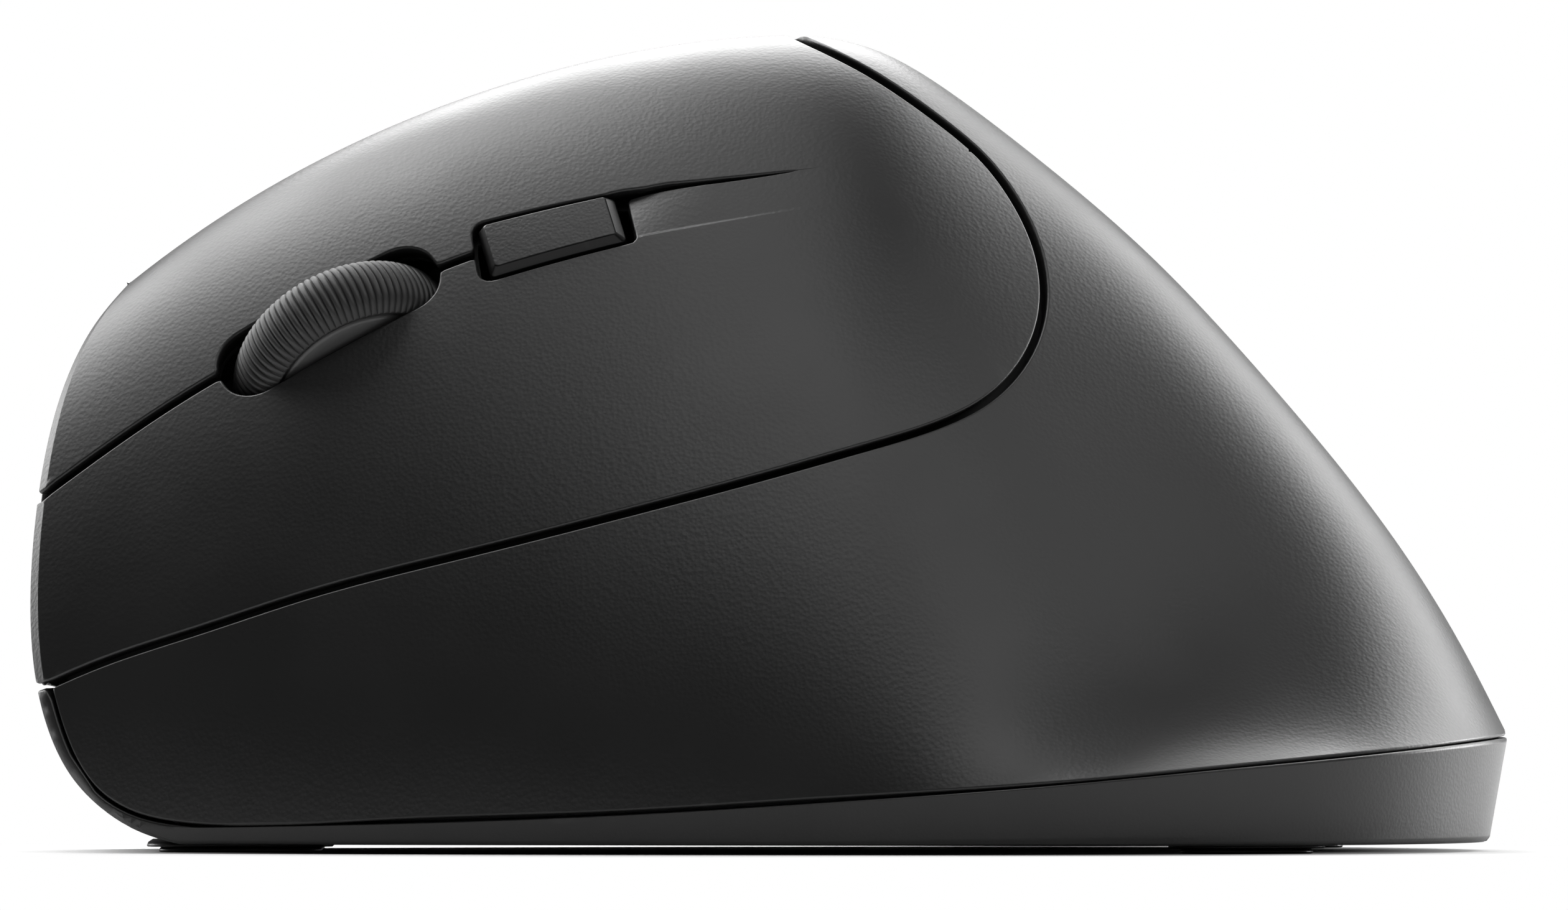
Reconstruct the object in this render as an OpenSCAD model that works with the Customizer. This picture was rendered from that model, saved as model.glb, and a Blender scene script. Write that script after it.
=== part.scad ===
// Vertical ergonomic mouse for the left hand: a leaning hand-shake body on a drafted base,
// two finger buttons with a ribbed scroll wheel between them, and the works inside.
// +X runs to the heel of the hand, -Y is the finger side, +Y the thumb side, Z is up from the desk.

/* [Body] */
// Overall length, nose to heel
body_length = 122.7; // [114:0.1:132]
// Overall width at the flare
body_width = 76; // [71:0.5:82]
// Height of the ridge above the desk
body_height = 68; // [64:0.5:73]
// Wall of the moulded shells
wall = 2; // [1.7:0.1:2.3]
// Parting gap round the button cover
seam_gap = 0.6; // [0.5:0.05:0.8]
// Parting gap between shell and bottom case
base_gap = 0.25; // [0.2:0.05:0.4]

/* [Bottom case] */
// Desk to the underside of the bottom case
base_clear = 0.75; // [0.6:0.05:1.2]
// Floor of the bottom case
base_floor = 2; // [1.6:0.1:2.4]
// Draft of the base band, degrees
base_draft = 10; // [4:1:14]
// Height of the front wall of the bottom case
front_wall_top = 13.4; // [11:0.1:14]

/* [Glide feet] */
// Height of the foot pedestals below the case
pad_rise = 0.3; // [0.2:0.05:0.4]
// Length of the front foot
front_foot_l = 13.5; // [10:0.5:15]
// Width of the front foot
front_foot_w = 30; // [22:1:34]
// Length of each rear foot
rear_foot_l = 11.5; // [8:0.5:13]
// Width of each rear foot
rear_foot_w = 6; // [4:0.5:7]

/* [Scroll wheel] */
// Outside of the tyre
wheel_d = 21.5; // [20:0.5:23]
// Width of the tyre
wheel_w = 5.8; // [5:0.1:6.2]
// How far the tyre stands out of the cover
wheel_proud = 4.4; // [3.5:0.1:5]
// Rubber over the hub
tyre_wall = 2.2; // [1.6:0.1:3]
// Ribs round the tread
rib_count = 98; // [60:1:110]
// Depth of the grooves between the ribs
rib_depth = 0.35; // [0.2:0.05:0.6]
// Axle of the wheel
axle_d = 2.4; // [2:0.1:3]
// Room round the wheel in its slot
wheel_room = 0.6; // [0.5:0.05:0.8]
// Click stroke of the wheel
wheel_click = 0.6; // [0.4:0.05:0.8]

/* [Resolution button] */
// Length of the cap
dpi_l = 12.4; // [10:0.1:13]
// Width of the cap
dpi_w = 5.1; // [4:0.1:5.6]
// Gap round the cap
dpi_gap = 0.45; // [0.35:0.05:0.6]
// Cap above the cover
dpi_proud = 0.5; // [0.2:0.1:0.9]

/* [Thumb buttons] */
// Length of each button
thumb_l = 17; // [14:0.5:18]
// Height of each button
thumb_h = 6.4; // [5:0.1:7]
// Gap round each button
thumb_gap = 0.35; // [0.3:0.05:0.5]
// Button above the shell
thumb_proud = 0.8; // [0.4:0.1:1.2]

/* [Boards and switches] */
// Thickness of the circuit boards
board_t = 1.2; // [1:0.1:1.6]
// Length of a finger switch
switch_l = 12.8; // [11:0.1:13]
// Width of a finger switch
switch_w = 5.8; // [5:0.1:6]
// Height of a finger switch
switch_h = 6.5; // [5.5:0.1:6.8]
// Side of a small push switch
tact_s = 6; // [5:0.1:6.2]
// Height of a small push switch
tact_h = 3.5; // [3:0.1:3.8]
// Plunger of the switches
plunger_d = 2; // [1.6:0.1:2.2]
// Running room of plungers, bearings and sliders
running = 0.3; // [0.25:0.05:0.4]

/* [Power] */
// Diameter of a cell
cell_d = 10.5; // [10:0.1:11]
// Length of a cell
cell_l = 44.5; // [42:0.1:45]
// Wall of the battery tray
tray_wall = 1.5; // [1.2:0.1:1.8]
// Thickness of the battery door
door_t = 1.6; // [1.2:0.1:1.6]
// Gap round the battery door
door_gap = 0.3; // [0.3:0.05:0.5]
// Length of the receiver
receiver_l = 19; // [16:0.5:20]
// Width of the receiver
receiver_w = 13; // [11:0.5:14]
// Stroke of the power slider
power_stroke = 3; // [2:0.1:3.5]

/* [Screws] */
// Shank of the case screws
case_screw_d = 2.4; // [2:0.1:2.8]
// Shank of the board screws
board_screw_d = 1.7; // [1.4:0.1:2]

/* [Hidden] */

// Size at which the guide curves below are drawn
drawn = [122.7, 76, 68];
grow = [body_length / drawn[0], body_width / drawn[1], body_height / drawn[2]];

// Natural cubic spline through points [x, value]
function reversed(a) = [for (i = [len(a) - 1:-1:0]) a[i]];
function curve(p) =
    let (n = len(p) - 1,
         h = [for (i = [0:n - 1]) p[i + 1][0] - p[i][0]],
         s = [for (i = [0:n - 1]) (p[i + 1][1] - p[i][1]) / h[i]],
         sweep = [for (i = 1, m = 2 * (h[0] + h[1]), c = h[1] / m, d = 6 * (s[1] - s[0]) / m;
                       i < n;
                       i = i + 1,
                       m = i < n ? 2 * (h[i - 1] + h[i]) - h[i - 1] * c : 1,
                       d = i < n ? (6 * (s[i] - s[i - 1]) - h[i - 1] * d) / m : 0,
                       c = i < n ? h[i] / m : 0) [c, d]],
         back = [for (i = n - 1, m = sweep[n - 2][1];
                      i >= 1;
                      i = i - 1, m = i >= 1 ? sweep[i - 1][1] - sweep[i - 1][0] * m : 0) m])
    [p, concat([0], reversed(back), [0])];
function at(c, x) =
    let (p = c[0],
         i = max([0, for (k = [1:len(p) - 2]) if (x >= p[k][0]) k]),
         h = p[i + 1][0] - p[i][0],
         a = (p[i + 1][0] - x) / h,
         b = (x - p[i][0]) / h)
    a * p[i][1] + b * p[i + 1][1] + ((a^3 - a) * c[1][i] + (b^3 - b) * c[1][i + 1]) * h * h / 6;

// Smooth path through points in a plane, as a list of points
function run(p) =
    [for (i = 0, t = 0;
          i < len(p);
          i = i + 1, t = i < len(p) ? t + norm(p[i] - p[i - 1]) : t) t];
function path(p, steps) =
    let (t = run(p),
         cx = curve([for (i = [0:len(p) - 1]) [t[i], p[i][0]]]),
         cz = curve([for (i = [0:len(p) - 1]) [t[i], p[i][1]]]),
         last = t[len(t) - 1])
    [for (k = [0:steps]) [at(cx, last * k / steps), at(cz, last * k / steps)]];

// Guide curves along the length, drawn at the nominal size
ridge_z = curve([[-62, 39.9], [-52, 48.4], [-40, 56.3], [-26, 62.6], [-12, 66.5], [0, 67.95],
                 [6, 67.6], [10, 66.3], [15, 63.3], [22, 58], [32, 49.35], [43, 37.4], [52, 26],
                 [58, 16.3], [61.4, 9.6]]);
ridge_y = curve([[-62, 4.5], [-50, 6.5], [-30, 9.5], [-5, 12.5], [10, 13], [30, 10], [48, 5], [61.4, 0]]);
edge_z = curve([[-62, 2], [-47, 2.2], [-31, 2.55], [-12, 3.3], [8, 4.6], [21, 5.6], [38, 7.2],
                [47, 8], [61.4, 9.4]]);
finger_w = curve([[-62, 0.46], [-50, 0.6], [-30, 0.775], [-5, 0.9], [15, 0.975], [33, 1.02], [61.4, 1.05]]);
thumb_w = curve([[-62, 0.36], [-50, 0.48], [-30, 0.68], [-5, 0.87], [15, 0.97], [33, 1.02], [61.4, 1.05]]);
finger_lean = curve([[-62, 0.02], [-30, 0.02], [0, 0.06], [18, 0.2], [32, 0.42], [44, 0.45],
                     [54, 0.38], [61.4, 0.33]]);
finger_rise = curve([[-62, 0.42], [-30, 0.4], [0, 0.36], [18, 0.27], [32, 0.18], [44, 0.2],
                     [54, 0.38], [61.4, 0.62]]);
shoulder = curve([[-62, 0.42], [0, 0.42], [30, 0.4], [61.4, 0.34]]);
crest = curve([[-62, 0.4], [0, 0.4], [30, 0.38], [61.4, 0.34]]);
ledge = curve([[-62, 0.3], [-30, 0.75], [-5, 0.95], [20, 0.85], [45, 0.48], [61.4, 0.33]]);
lift = curve([[-62, 0.4], [-30, 0.22], [-5, 0.14], [20, 0.16], [45, 0.36], [61.4, 0.62]]);
heel_start = 20;
heel_end = 61.4;
function heel_round(x) =
    x < heel_start ? 1 : sqrt(max(0, 1 - ((x - heel_start) / (heel_end - heel_start))^2.5));

// Control points of the section at a drawn station: finger edge to ridge to thumb edge
function section(x) =
    let (yf = -drawn[1] / 2 * at(finger_w, x) * heel_round(x),
         yt = drawn[1] / 2 * at(thumb_w, x) * heel_round(x),
         ze = at(edge_z, x),
         top = [at(ridge_y, x), at(ridge_z, x)],
         wf = top[0] - yf,
         wt = yt - top[0],
         h = top[1] - ze)
    [[yf, ze], [yf + at(finger_lean, x) * wf, ze + at(finger_rise, x) * h],
     [top[0] - at(shoulder, x) * wf, top[1]], top, [top[0] + at(crest, x) * wt, top[1]],
     [yt - at(ledge, x) * wt, ze + at(lift, x) * h], [yt, ze]];
function bezier(p, i, t) =
    p[i] * (1 - t)^3 + 3 * p[i + 1] * t * (1 - t)^2 + 3 * p[i + 2] * t^2 * (1 - t) + p[i + 3] * t^3;
function on_section(s, v) = v < 1 ? bezier(s, 0, v) : bezier(s, 3, v - 1);
function real(x, yz) = [x * grow[0], yz[0] * grow[1], yz[1] * grow[2]];

// Point and outward normal of the skin at drawn station x and girth v, 0 finger edge, 1 ridge, 2 thumb edge
function skin_point(x, v) = real(x, on_section(section(x), v));
delta = 0.05;
function unit(a) = a / norm(a);
function skin_ring(x, girths, offset) =
    let (s0 = section(x - delta), s1 = section(x), s2 = section(min(x + delta, heel_end - 0.02)))
    [for (v = girths)
        let (p = real(x, on_section(s1, v)),
             along = real(x + delta, on_section(s2, v)) - real(x - delta, on_section(s0, v)),
             lo = max(0, v - 0.01), hi = min(2, v + 0.01),
             round = real(x, on_section(s1, hi)) - real(x, on_section(s1, lo)))
        p + offset * unit(cross(along, round))];

stations = 38;
girth_steps = 26;
girths = [for (k = [0:girth_steps]) 2 * k / girth_steps];
front_over = -62.5;
function station(k) = heel_end - 0.1 - (heel_end - 0.1 - front_over) * (1 - k / stations)^1.6;

// Closed solid inside the skin, moved along the normal by offset and carried down to low
module loft(offset, low) {
    rings = [for (k = [0:stations])
        let (x = station(k),
             ring = skin_ring(x, girths, offset),
             a = ring[0],
             b = ring[girth_steps],
             room = (heel_end * grow[0] - a[0]) / tan(base_draft),
             z = max(low, a[2] - max(room, 0.4)),
             inset = (a[2] - z) * tan(base_draft))
        concat([[a[0], a[1] + inset, z]], ring, [[b[0], b[1] - inset, z]])];
    m = len(rings[0]);
    n = len(rings);
    points = [for (r = rings) each r];
    faces = concat(
        [for (i = [0:n - 2], j = [0:m - 1])
            let (a = i * m + j, b = i * m + (j + 1) % m) each [[a, b, b + m], [a, b + m, a + m]]],
        [[for (j = [m - 1:-1:0]) j], [for (j = [0:m - 1]) (n - 1) * m + j]]);
    polyhedron(points, faces);
}

// Free-form pieces are finished as one closed mesh
module moulded() { resize([0, 0, 0]) { union() { children(); } } }
module side() { rotate([90, 0, 0]) linear_extrude(height = 200, center = true) children(); }
module plan() { linear_extrude(height = 300, center = true) children(); }
function sized(p) = [for (q = p) [q[0] * grow[0], q[1] * grow[2]]];
function planned(p) = [for (q = p) [q[0] * grow[0], q[1] * grow[1]]];

// Nose in side view, from above the ridge down to the underside
nose_line = path([[-44, 57], [-48.5, 52], [-51.5, 49.3], [-53.7, 47], [-56.2, 43.9], [-57.9, 40.8],
                  [-59.9, 34.6], [-60.9, 28.4], [-61.35, 20.5], [-60.6, 13], [-59.5, 9.4],
                  [-57.9, 6.4], [-55.2, 3.6], [-52, 1.7], [-48, 0.5]], 36);
nose_outline = sized(concat([[100, 100], [-44, 100]], nose_line, [[-48, -20], [100, -20]]));
module nose(inset) { offset(delta = -inset) polygon(nose_outline); }

floor_z = base_clear + base_floor;
module skin() {
    difference() {
        intersection() {
            loft(0, base_clear);
            side() nose(0);
        }
        intersection() {
            loft(-wall, -5);
            side() nose(wall);
            translate([-100, -100, floor_z]) cube(200);
        }
    }
}

// Parting line between shell and bottom case, side view
seam_top = front_wall_top / grow[2];
base_seam = path([[-59.7, seam_top], [-58.2, 8.8], [-55.7, 5], [-52.5, 3.1], [-48.6, 2.3], [-32, 2.55],
                  [-14, 3.25], [1.2, 4.2], [19.9, 5.5], [33.2, 6.75], [44.9, 7.85], [55.3, 8.8],
                  [61.4, 9.4], [70, 10.2]], 40);
base_outline = sized(concat([[-75, seam_top]], base_seam, [[75, 10.5], [75, -20], [-75, -20]]));
module base_region(gap, core) {
    side() offset(delta = gap) polygon(base_outline);
    intersection() {
        loft(-wall - core, -5);
        union() {
            translate([-100, -100, -10]) cube([200, 200, 10.01 + floor_z]);
            difference() {
                translate([-100, -100, -10]) cube([100, 200, 9.9 + front_wall_top]);
                side() nose(wall + 0.02);
            }
        }
    }
}

// Parting line round the button cover: side view, then over the ridge in plan
seam_front = (front_wall_top + seam_gap / 2) / grow[2];
cover_seam = path([[-60.2, seam_front], [-55.8, seam_front + 1.9], [-47.8, 18.3], [-38, 21.5],
                   [-24.9, 24.9], [-11.9, 28.2], [1.2, 31.7], [7.7, 33.55], [14.2, 35.6],
                   [18.1, 37.6], [20.8, 40.3], [22.4, 43.6], [22.8, 46.6], [22.3, 50],
                   [20.7, 53.7], [17.5, 58], [14.2, 60.8], [7.7, 65.2], [3, 67.6], [-3, 70.6]], 60);
cover_outline = sized(concat([[-75, seam_front - 0.7]], cover_seam, [[-3, 100], [-75, 100]]));
thumb_seam = path([[12, 12.4], [3, 13.2], [-2, 13.9], [-8, 13.7], [-16, 12.7], [-30, 10.9], [-44, 8.8],
                   [-53, 7.3], [-64, 6.4]], 24);
thumb_outline = planned(concat([[75, -75], [75, 5], [40, 8]], thumb_seam, [[-75, 4], [-75, -75]]));
thumb_seam_gap = seam_gap + 0.3;
module cover_region(way) {
    intersection() {
        side() offset(delta = way * seam_gap / 2) polygon(cover_outline);
        plan() offset(delta = way * thumb_seam_gap / 2) polygon(thumb_outline);
    }
}

// Split between the two buttons and the line where they bend
split = path([[-75, 18.5], [-60.2, 29.8], [-47.5, 38.55], [-36.8, 44.3], [-26, 49.1], [-22, 50.6],
              [-17, 52.9], [-12.7, 54.6], [-5.9, 55.55], [2, 56.6], [14, 58], [26, 59]], 44);
bend_x = 8;
above_split = sized(concat(split, [[75, 59], [75, 110], [-75, 110]]));
below_split = sized(concat(split, [[75, 59], [75, -10], [-75, -10]]));

// Local frames on the skin: [point, along, across, outward], from a spot in side view and a slope
function girth_at(s, z, lo = 0, hi = 1, n = 22) =
    let (m = (lo + hi) / 2)
    n == 0 ? m : on_section(s, m)[1] < z ? girth_at(s, z, m, hi, n - 1) : girth_at(s, z, lo, m, n - 1);
function spot(x, z) =
    let (v = girth_at(section(x), z), p = skin_ring(x, [v], 0)[0])
    [p, unit(skin_ring(x, [v], 1)[0] - p)];
function frame(x, z, slope) =
    let (q = spot(x, z), n = q[1], c = cos(slope), s = sin(slope),
         r = unit([c, -(n[0] * c + n[2] * s) / n[1], s]))
    [q[0], r, cross(n, r), n];
module on(f) {
    multmatrix([[f[1][0], f[2][0], f[3][0], f[0][0]],
                [f[1][1], f[2][1], f[3][1], f[0][1]],
                [f[1][2], f[2][2], f[3][2], f[0][2]]]) children();
}
function around(c, w) = [c - w / 2, c + w / 2];
function wider(r, by) = [r[0] - by, r[1] + by];
module box(x, y, z) { translate([x[0], y[0], z[0]]) cube([x[1] - x[0], y[1] - y[0], z[1] - z[0]]); }
module peg(p, d, z) { translate([p[0], p[1], z[0]]) cylinder(h = z[1] - z[0], d = d, $fn = 32); }
function local(f, p) = [(p - f[0]) * f[1], (p - f[0]) * f[2], (p - f[0]) * f[3]];

// Scroll wheel frame: all the button works hang from it
wheel_frame = frame(-36.8, 44.3, 28.6);
wheel_r = wheel_d / 2;
wheel_z = wheel_proud - wheel_r;
slot_l = 2 * sqrt(wheel_r^2 - wheel_z^2) + 3.7;
slot_w = wheel_w + 2 * wheel_room;
module stadium(l, w) {
    hull() {
        translate([-(l - w) / 2, 0]) circle(d = w, $fn = 32);
        translate([(l - w) / 2, 0]) circle(d = w, $fn = 32);
    }
}

slot_corner = slot_w * 0.36;

// Resolution button frame and the ramp behind it
dpi_frame = frame(-18.1, 50.95, 13.5);
ramp_a = spot(-11.2, 52.6);
ramp_b = spot(3.6, 55.3);
ramp_in = ramp_a[0] - 1.3 * ramp_a[1];
ramp_along = unit(ramp_b[0] - ramp_in);
ramp_out = unit(ramp_a[1] - (ramp_a[1] * ramp_along) * ramp_along);
ramp_frame = [ramp_in, ramp_along, cross(ramp_out, ramp_along), ramp_out];
// Rectangle l by w with corners of radius r
module rounded(l, w, r) { offset(r = r) square([l - 2 * r, w - 2 * r], center = true); }
dpi_corner = 0.7;
module dpi_outline(grown) { rounded(dpi_l + 2 * grown, dpi_w + 2 * grown, dpi_corner); }
module cover_cuts() {
    on(wheel_frame) translate([0, 0, -8]) linear_extrude(height = 16) rounded(slot_l, slot_w, slot_corner);
    intersection() {
        on(wheel_frame) translate([0, 0, wheel_z]) rotate([90, 0, 0])
            cylinder(h = slot_w, r = wheel_r + wheel_room, center = true, $fn = 72);
        loft(-wall * 0.4, -5);
    }
    on(dpi_frame) translate([0, 0, -6]) linear_extrude(height = 12) dpi_outline(dpi_gap);
}
// Scoop below the split, deepest at the pocket of the resolution button
module ramp_cut() { on(ramp_frame) translate([-1.5, -2.5, 0]) cube([30, 6, 8]); }

// Levels of the button works below the wheel spot
board_top = -13;
board_low = board_top - board_t;
standoff = 1.5;
frame_top = board_low - standoff;
frame_t = 2;
frame_low = frame_top - frame_t;
switch_top = board_top + switch_h;
plunger_top = switch_top + 1;
plunger_low = switch_top - 2;
carrier_room = 0.5;
carrier_in = wheel_w / 2 + carrier_room;
carrier_out = carrier_in + 1.7;
carrier_end = wheel_r + carrier_room;
carrier_low = board_top + wheel_click + running;
index_at = [-9.5, carrier_out + 0.4 + switch_w / 2];
middle_at = [-12.2, -carrier_out - 0.4 - switch_w / 2];
tact_top = board_top + tact_h;
click_at = [-carrier_end - 1.5 - 1 - tact_s / 2, 0];
board_holes = [[-21.5, 6.5], [-21.5, -9], [25, 6.5], [25, -11]];
frame_half = [-23.7, 33];
frame_y = [-12, 8.7];
frame_corner = 1.6;
frame_outline = [[frame_half[0], frame_y[0]], [frame_half[1], frame_y[0]], [frame_half[1], frame_y[1]],
                 [frame_half[0] + frame_corner, frame_y[1]], [frame_half[0], frame_y[1] - frame_corner]];

module cover_part() {
    intersection() {
        skin();
        cover_region(-1);
        children();
    }
}
module bend_side(way) {
    translate([bend_x * grow[0] + way * 0.15 + (way > 0 ? 0 : -200), -100, -50]) cube([200, 200, 200]);
}
// Everything but the thumb wall behind the nose
module finger_side() {
    difference() {
        cube(400, center = true);
        translate([-57 * grow[0], 4, -50]) cube([200, 100, 200]);
    }
}
// Rib under a button, from the plunger up into the skin
module pusher(p) {
    intersection() {
        on(wheel_frame) box([p[0] - 2, p[0] + 2], [p[1] - 1.6, p[1] + 1.6], [plunger_top, 8]);
        loft(-wall / 2, -5);
    }
}

module index_button() {
    color("dimgray") moulded() {
        difference() {
            cover_part() {
                intersection() {
                    bend_side(-1);
                    side() offset(delta = -seam_gap / 2) polygon(above_split);
                }
            }
            cover_cuts();
        }
        pusher(index_at);
    }
}

module middle_button() {
    color("dimgray") moulded() {
        difference() {
            cover_part() {
                intersection() {
                    bend_side(-1);
                    side() offset(delta = -seam_gap / 2) polygon(below_split);
                    finger_side();
                }
            }
            cover_cuts();
            ramp_cut();
        }
        pusher(middle_at);
    }
}

module cover_bridge() {
    color("dimgray") moulded() cover_part() bend_side(1);
}
// Ledge inside the shell that carries the bridge
module bridge_ledge() {
    intersection() {
        difference() {
            loft(-wall * 0.6, -5);
            loft(-wall - 1.6, -6);
            difference() {
                cover_region(0.5);
                loft(-wall, -5);
            }
        }
        side() difference() {
            offset(delta = 2.5) polygon(cover_outline);
            offset(delta = -4) polygon(cover_outline);
        }
        translate([(bend_x + 2.5) * grow[0], -100, 0]) cube([100, 107, 100]);
    }
}

// One rib of the tread: share of the pitch and depth of its four corners
rib = [[0.08, 0], [0.5, 0], [0.6, 1], [0.98, 1]];
module scroll_tyre() {
    color("black") on(wheel_frame) translate([0, 0, wheel_z]) rotate([90, 0, 0]) difference() {
        intersection() {
            linear_extrude(height = wheel_w, center = true)
                polygon([for (k = [0:rib_count - 1], e = rib)
                    let (t = 360 * (k + e[0]) / rib_count, r = wheel_r - e[1] * rib_depth)
                    [r * cos(t), r * sin(t)]]);
            rotate_extrude($fn = 96)
                polygon([[0, -wheel_w / 2], [wheel_r - 1, -wheel_w / 2],
                         [wheel_r + 0.1, -wheel_w / 2 + 1.1], [wheel_r + 0.1, wheel_w / 2 - 1.1],
                         [wheel_r - 1, wheel_w / 2], [0, wheel_w / 2]]);
        }
        cylinder(h = wheel_w + 2, r = wheel_r - tyre_wall, center = true, $fn = 96);
    }
}

encoder_w = 4.6;
web = 0.8;
rim_t = 1.6;
hub_r = 3;
module wheel_hub() {
    rim = wheel_r - tyre_wall;
    face = wheel_w / 2;
    lip = face - 0.3;
    color("gray") on(wheel_frame) translate([0, 0, wheel_z]) rotate([90, 0, 0])
        rotate_extrude($fn = 96)
            polygon([[0, -carrier_out - 1], [axle_d / 2, -carrier_out - 1], [axle_d / 2, -face],
                     [hub_r, -face], [hub_r + 0.4, -web], [rim - rim_t - 0.4, -web], [rim - rim_t, -lip],
                     [rim, -lip], [rim, lip], [rim - rim_t, lip], [rim - rim_t - 0.4, web],
                     [hub_r + 0.4, web], [hub_r, face], [axle_d / 2, face],
                     [axle_d / 2, carrier_out + encoder_w - 0.8], [0, carrier_out + encoder_w - 0.8]]);
}

// Round bar along the wheel axis, centred at y
module axle_bar(y, h, d) {
    translate([0, y, wheel_z]) rotate([90, 0, 0]) cylinder(h = h, d = d, center = true, $fn = 48);
}
bearing_d = axle_d + 0.2;
module wheel_carrier() {
    color("darkslategray") on(wheel_frame) difference() {
        union() {
            difference() {
                box(around(0, 2 * carrier_end + 3), around(0, 2 * carrier_out),
                    [carrier_low, wheel_z - 0.6]);
                box(around(0, 2 * carrier_end), around(0, 2 * carrier_in), [carrier_low - 1, 10]);
            }
            for (s = [-1, 1])
                axle_bar(s * (carrier_in + carrier_out) / 2, carrier_out - carrier_in, axle_d + 3.4);
            box([click_at[0] - 2.2, -carrier_end - 0.5], around(0, 4.8), [tact_top + 0.6, tact_top + 2.1]);
        }
        axle_bar(0, 60, bearing_d);
    }
}

module wheel_encoder() {
    color("seagreen") on(wheel_frame) difference() {
        box(around(0, 9.6), [-carrier_out - encoder_w, -carrier_out], [wheel_z - 4.6, wheel_z + 3.2]);
        axle_bar(-carrier_out + 0.45 - encoder_w / 2, encoder_w + 0.1, bearing_d);
    }
}

// Small push switch with a well for its plunger
module tact(p, top, room) {
    difference() {
        box(around(p[0], tact_s), around(p[1], tact_s), [top - tact_h, top]);
        peg(p, plunger_d + 2 * room, [top - tact_h + 0.6, top + 1]);
    }
}
module click_switch() { color("dimgray") on(wheel_frame) tact(click_at, tact_top, running); }
// Travel of a small plunger: down in its well and up out of it
function tact_stem(top) = [top - 1.6, top + 0.6];
module click_plunger() { color("ivory") on(wheel_frame) peg(click_at, plunger_d, tact_stem(tact_top)); }

module finger_switch(p) {
    on(wheel_frame) difference() {
        box(around(p[0], switch_l), around(p[1], switch_w), [board_top, switch_top]);
        peg(p, plunger_d + 2 * running, [plunger_low - 1.2, switch_top + 1]);
    }
}
module index_switch() { color("black") finger_switch(index_at); }
module middle_switch() { color("black") finger_switch(middle_at); }
module finger_plunger(p) { color("ivory") on(wheel_frame) peg(p, plunger_d, [plunger_low, plunger_top]); }
module index_plunger() { finger_plunger(index_at); }
module middle_plunger() { finger_plunger(middle_at); }

// The resolution cap follows the skin, its stem runs down to its switch on the board
dpi_axis = [dpi_frame[3] * wheel_frame[1], dpi_frame[3] * wheel_frame[2], dpi_frame[3] * wheel_frame[3]];
dpi_foot = local(wheel_frame, dpi_frame[0]);
dpi_reach = (dpi_foot[2] - tact_top - 0.6) / dpi_axis[2];
dpi_at = [dpi_foot[0] - dpi_axis[0] * dpi_reach, dpi_foot[1] - dpi_axis[1] * dpi_reach];
module resolution_button() {
    color("dimgray") moulded() {
        intersection() {
            on(dpi_frame) translate([0, 0, -8]) linear_extrude(height = 16) dpi_outline(0);
            difference() {
                loft(dpi_proud, -5);
                loft(-wall - 0.4, -6);
            }
        }
        intersection() {
            on(dpi_frame) peg([0, 0], 3.2, [-dpi_reach, 0]);
            loft(-wall / 2, -5);
        }
    }
}
module resolution_switch() { color("dimgray") on(wheel_frame) tact(dpi_at, tact_top, 2 * running); }
module resolution_plunger() {
    color("ivory") on(dpi_frame) peg([0, 0], plunger_d, [-dpi_reach - 1.6, -dpi_reach]);
}

// Thumb buttons sit in the thumb wall and press straight across
thumb_z = 42 * grow[2];
thumb_x = [-20, -20 + thumb_l + 1.6];
thumb_board_y = wheel_frame[0][1] + 19.6;
thumb_top = thumb_board_y + board_t + tact_h;
thumb_corner = 1.6;
function thumb_mid(i) = [thumb_x[i] + thumb_l / 2, thumb_z];
module thumb_outline_of(i, grown) {
    translate(thumb_mid(i)) rounded(thumb_l + 2 * grown, thumb_h + 2 * grown, thumb_corner);
}
module thumb_button(i) {
    color("dimgray") moulded() intersection() {
        translate([-100, thumb_top + 0.6, 0]) cube([200, 100, 100]);
        union() {
            intersection() {
                side() thumb_outline_of(i, 0);
                difference() {
                    loft(thumb_proud, -5);
                    loft(-wall - 1.3, -6);
                }
            }
            intersection() {
                side() translate(thumb_mid(i)) square([thumb_l - 2, thumb_h + 2], center = true);
                difference() {
                    loft(-wall - running, -5);
                    loft(-wall - running - 1, -6);
                }
            }
            intersection() {
                side() translate(thumb_mid(i)) circle(d = 4, $fn = 32);
                loft(-wall, -5);
            }
        }
    }
}
module forward_button() { thumb_button(0); }
module back_button() { thumb_button(1); }
module across(p, d, y) {
    translate([p[0], y[0], p[1]]) rotate([-90, 0, 0]) cylinder(h = y[1] - y[0], d = d, $fn = 32);
}
module forward_plunger() { color("ivory") across(thumb_mid(0), plunger_d, tact_stem(thumb_top)); }
module back_plunger() { color("ivory") across(thumb_mid(1), plunger_d, tact_stem(thumb_top)); }
thumb_board_x = [thumb_x[0] - 4.6, thumb_x[1] + thumb_l + 4.6];
thumb_posts = [[thumb_board_x[0] + 2.4, thumb_z], [thumb_board_x[1] - 2.4, thumb_z]];
module thumb_board() {
    color("darkgreen") difference() {
        box(thumb_board_x, [thumb_board_y, thumb_board_y + board_t], [thumb_z - 4, thumb_z + 4]);
        for (p = thumb_posts) across(p, board_screw_d, [0, 30]);
    }
}
module thumb_switches() {
    color("dimgray") for (i = [0, 1]) difference() {
        box(around(thumb_mid(i)[0], tact_s), [thumb_top - tact_h, thumb_top], around(thumb_z, tact_s));
        across(thumb_mid(i), plunger_d + 2 * running, [thumb_top - tact_h + 0.6, thumb_top + 1]);
    }
}

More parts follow.
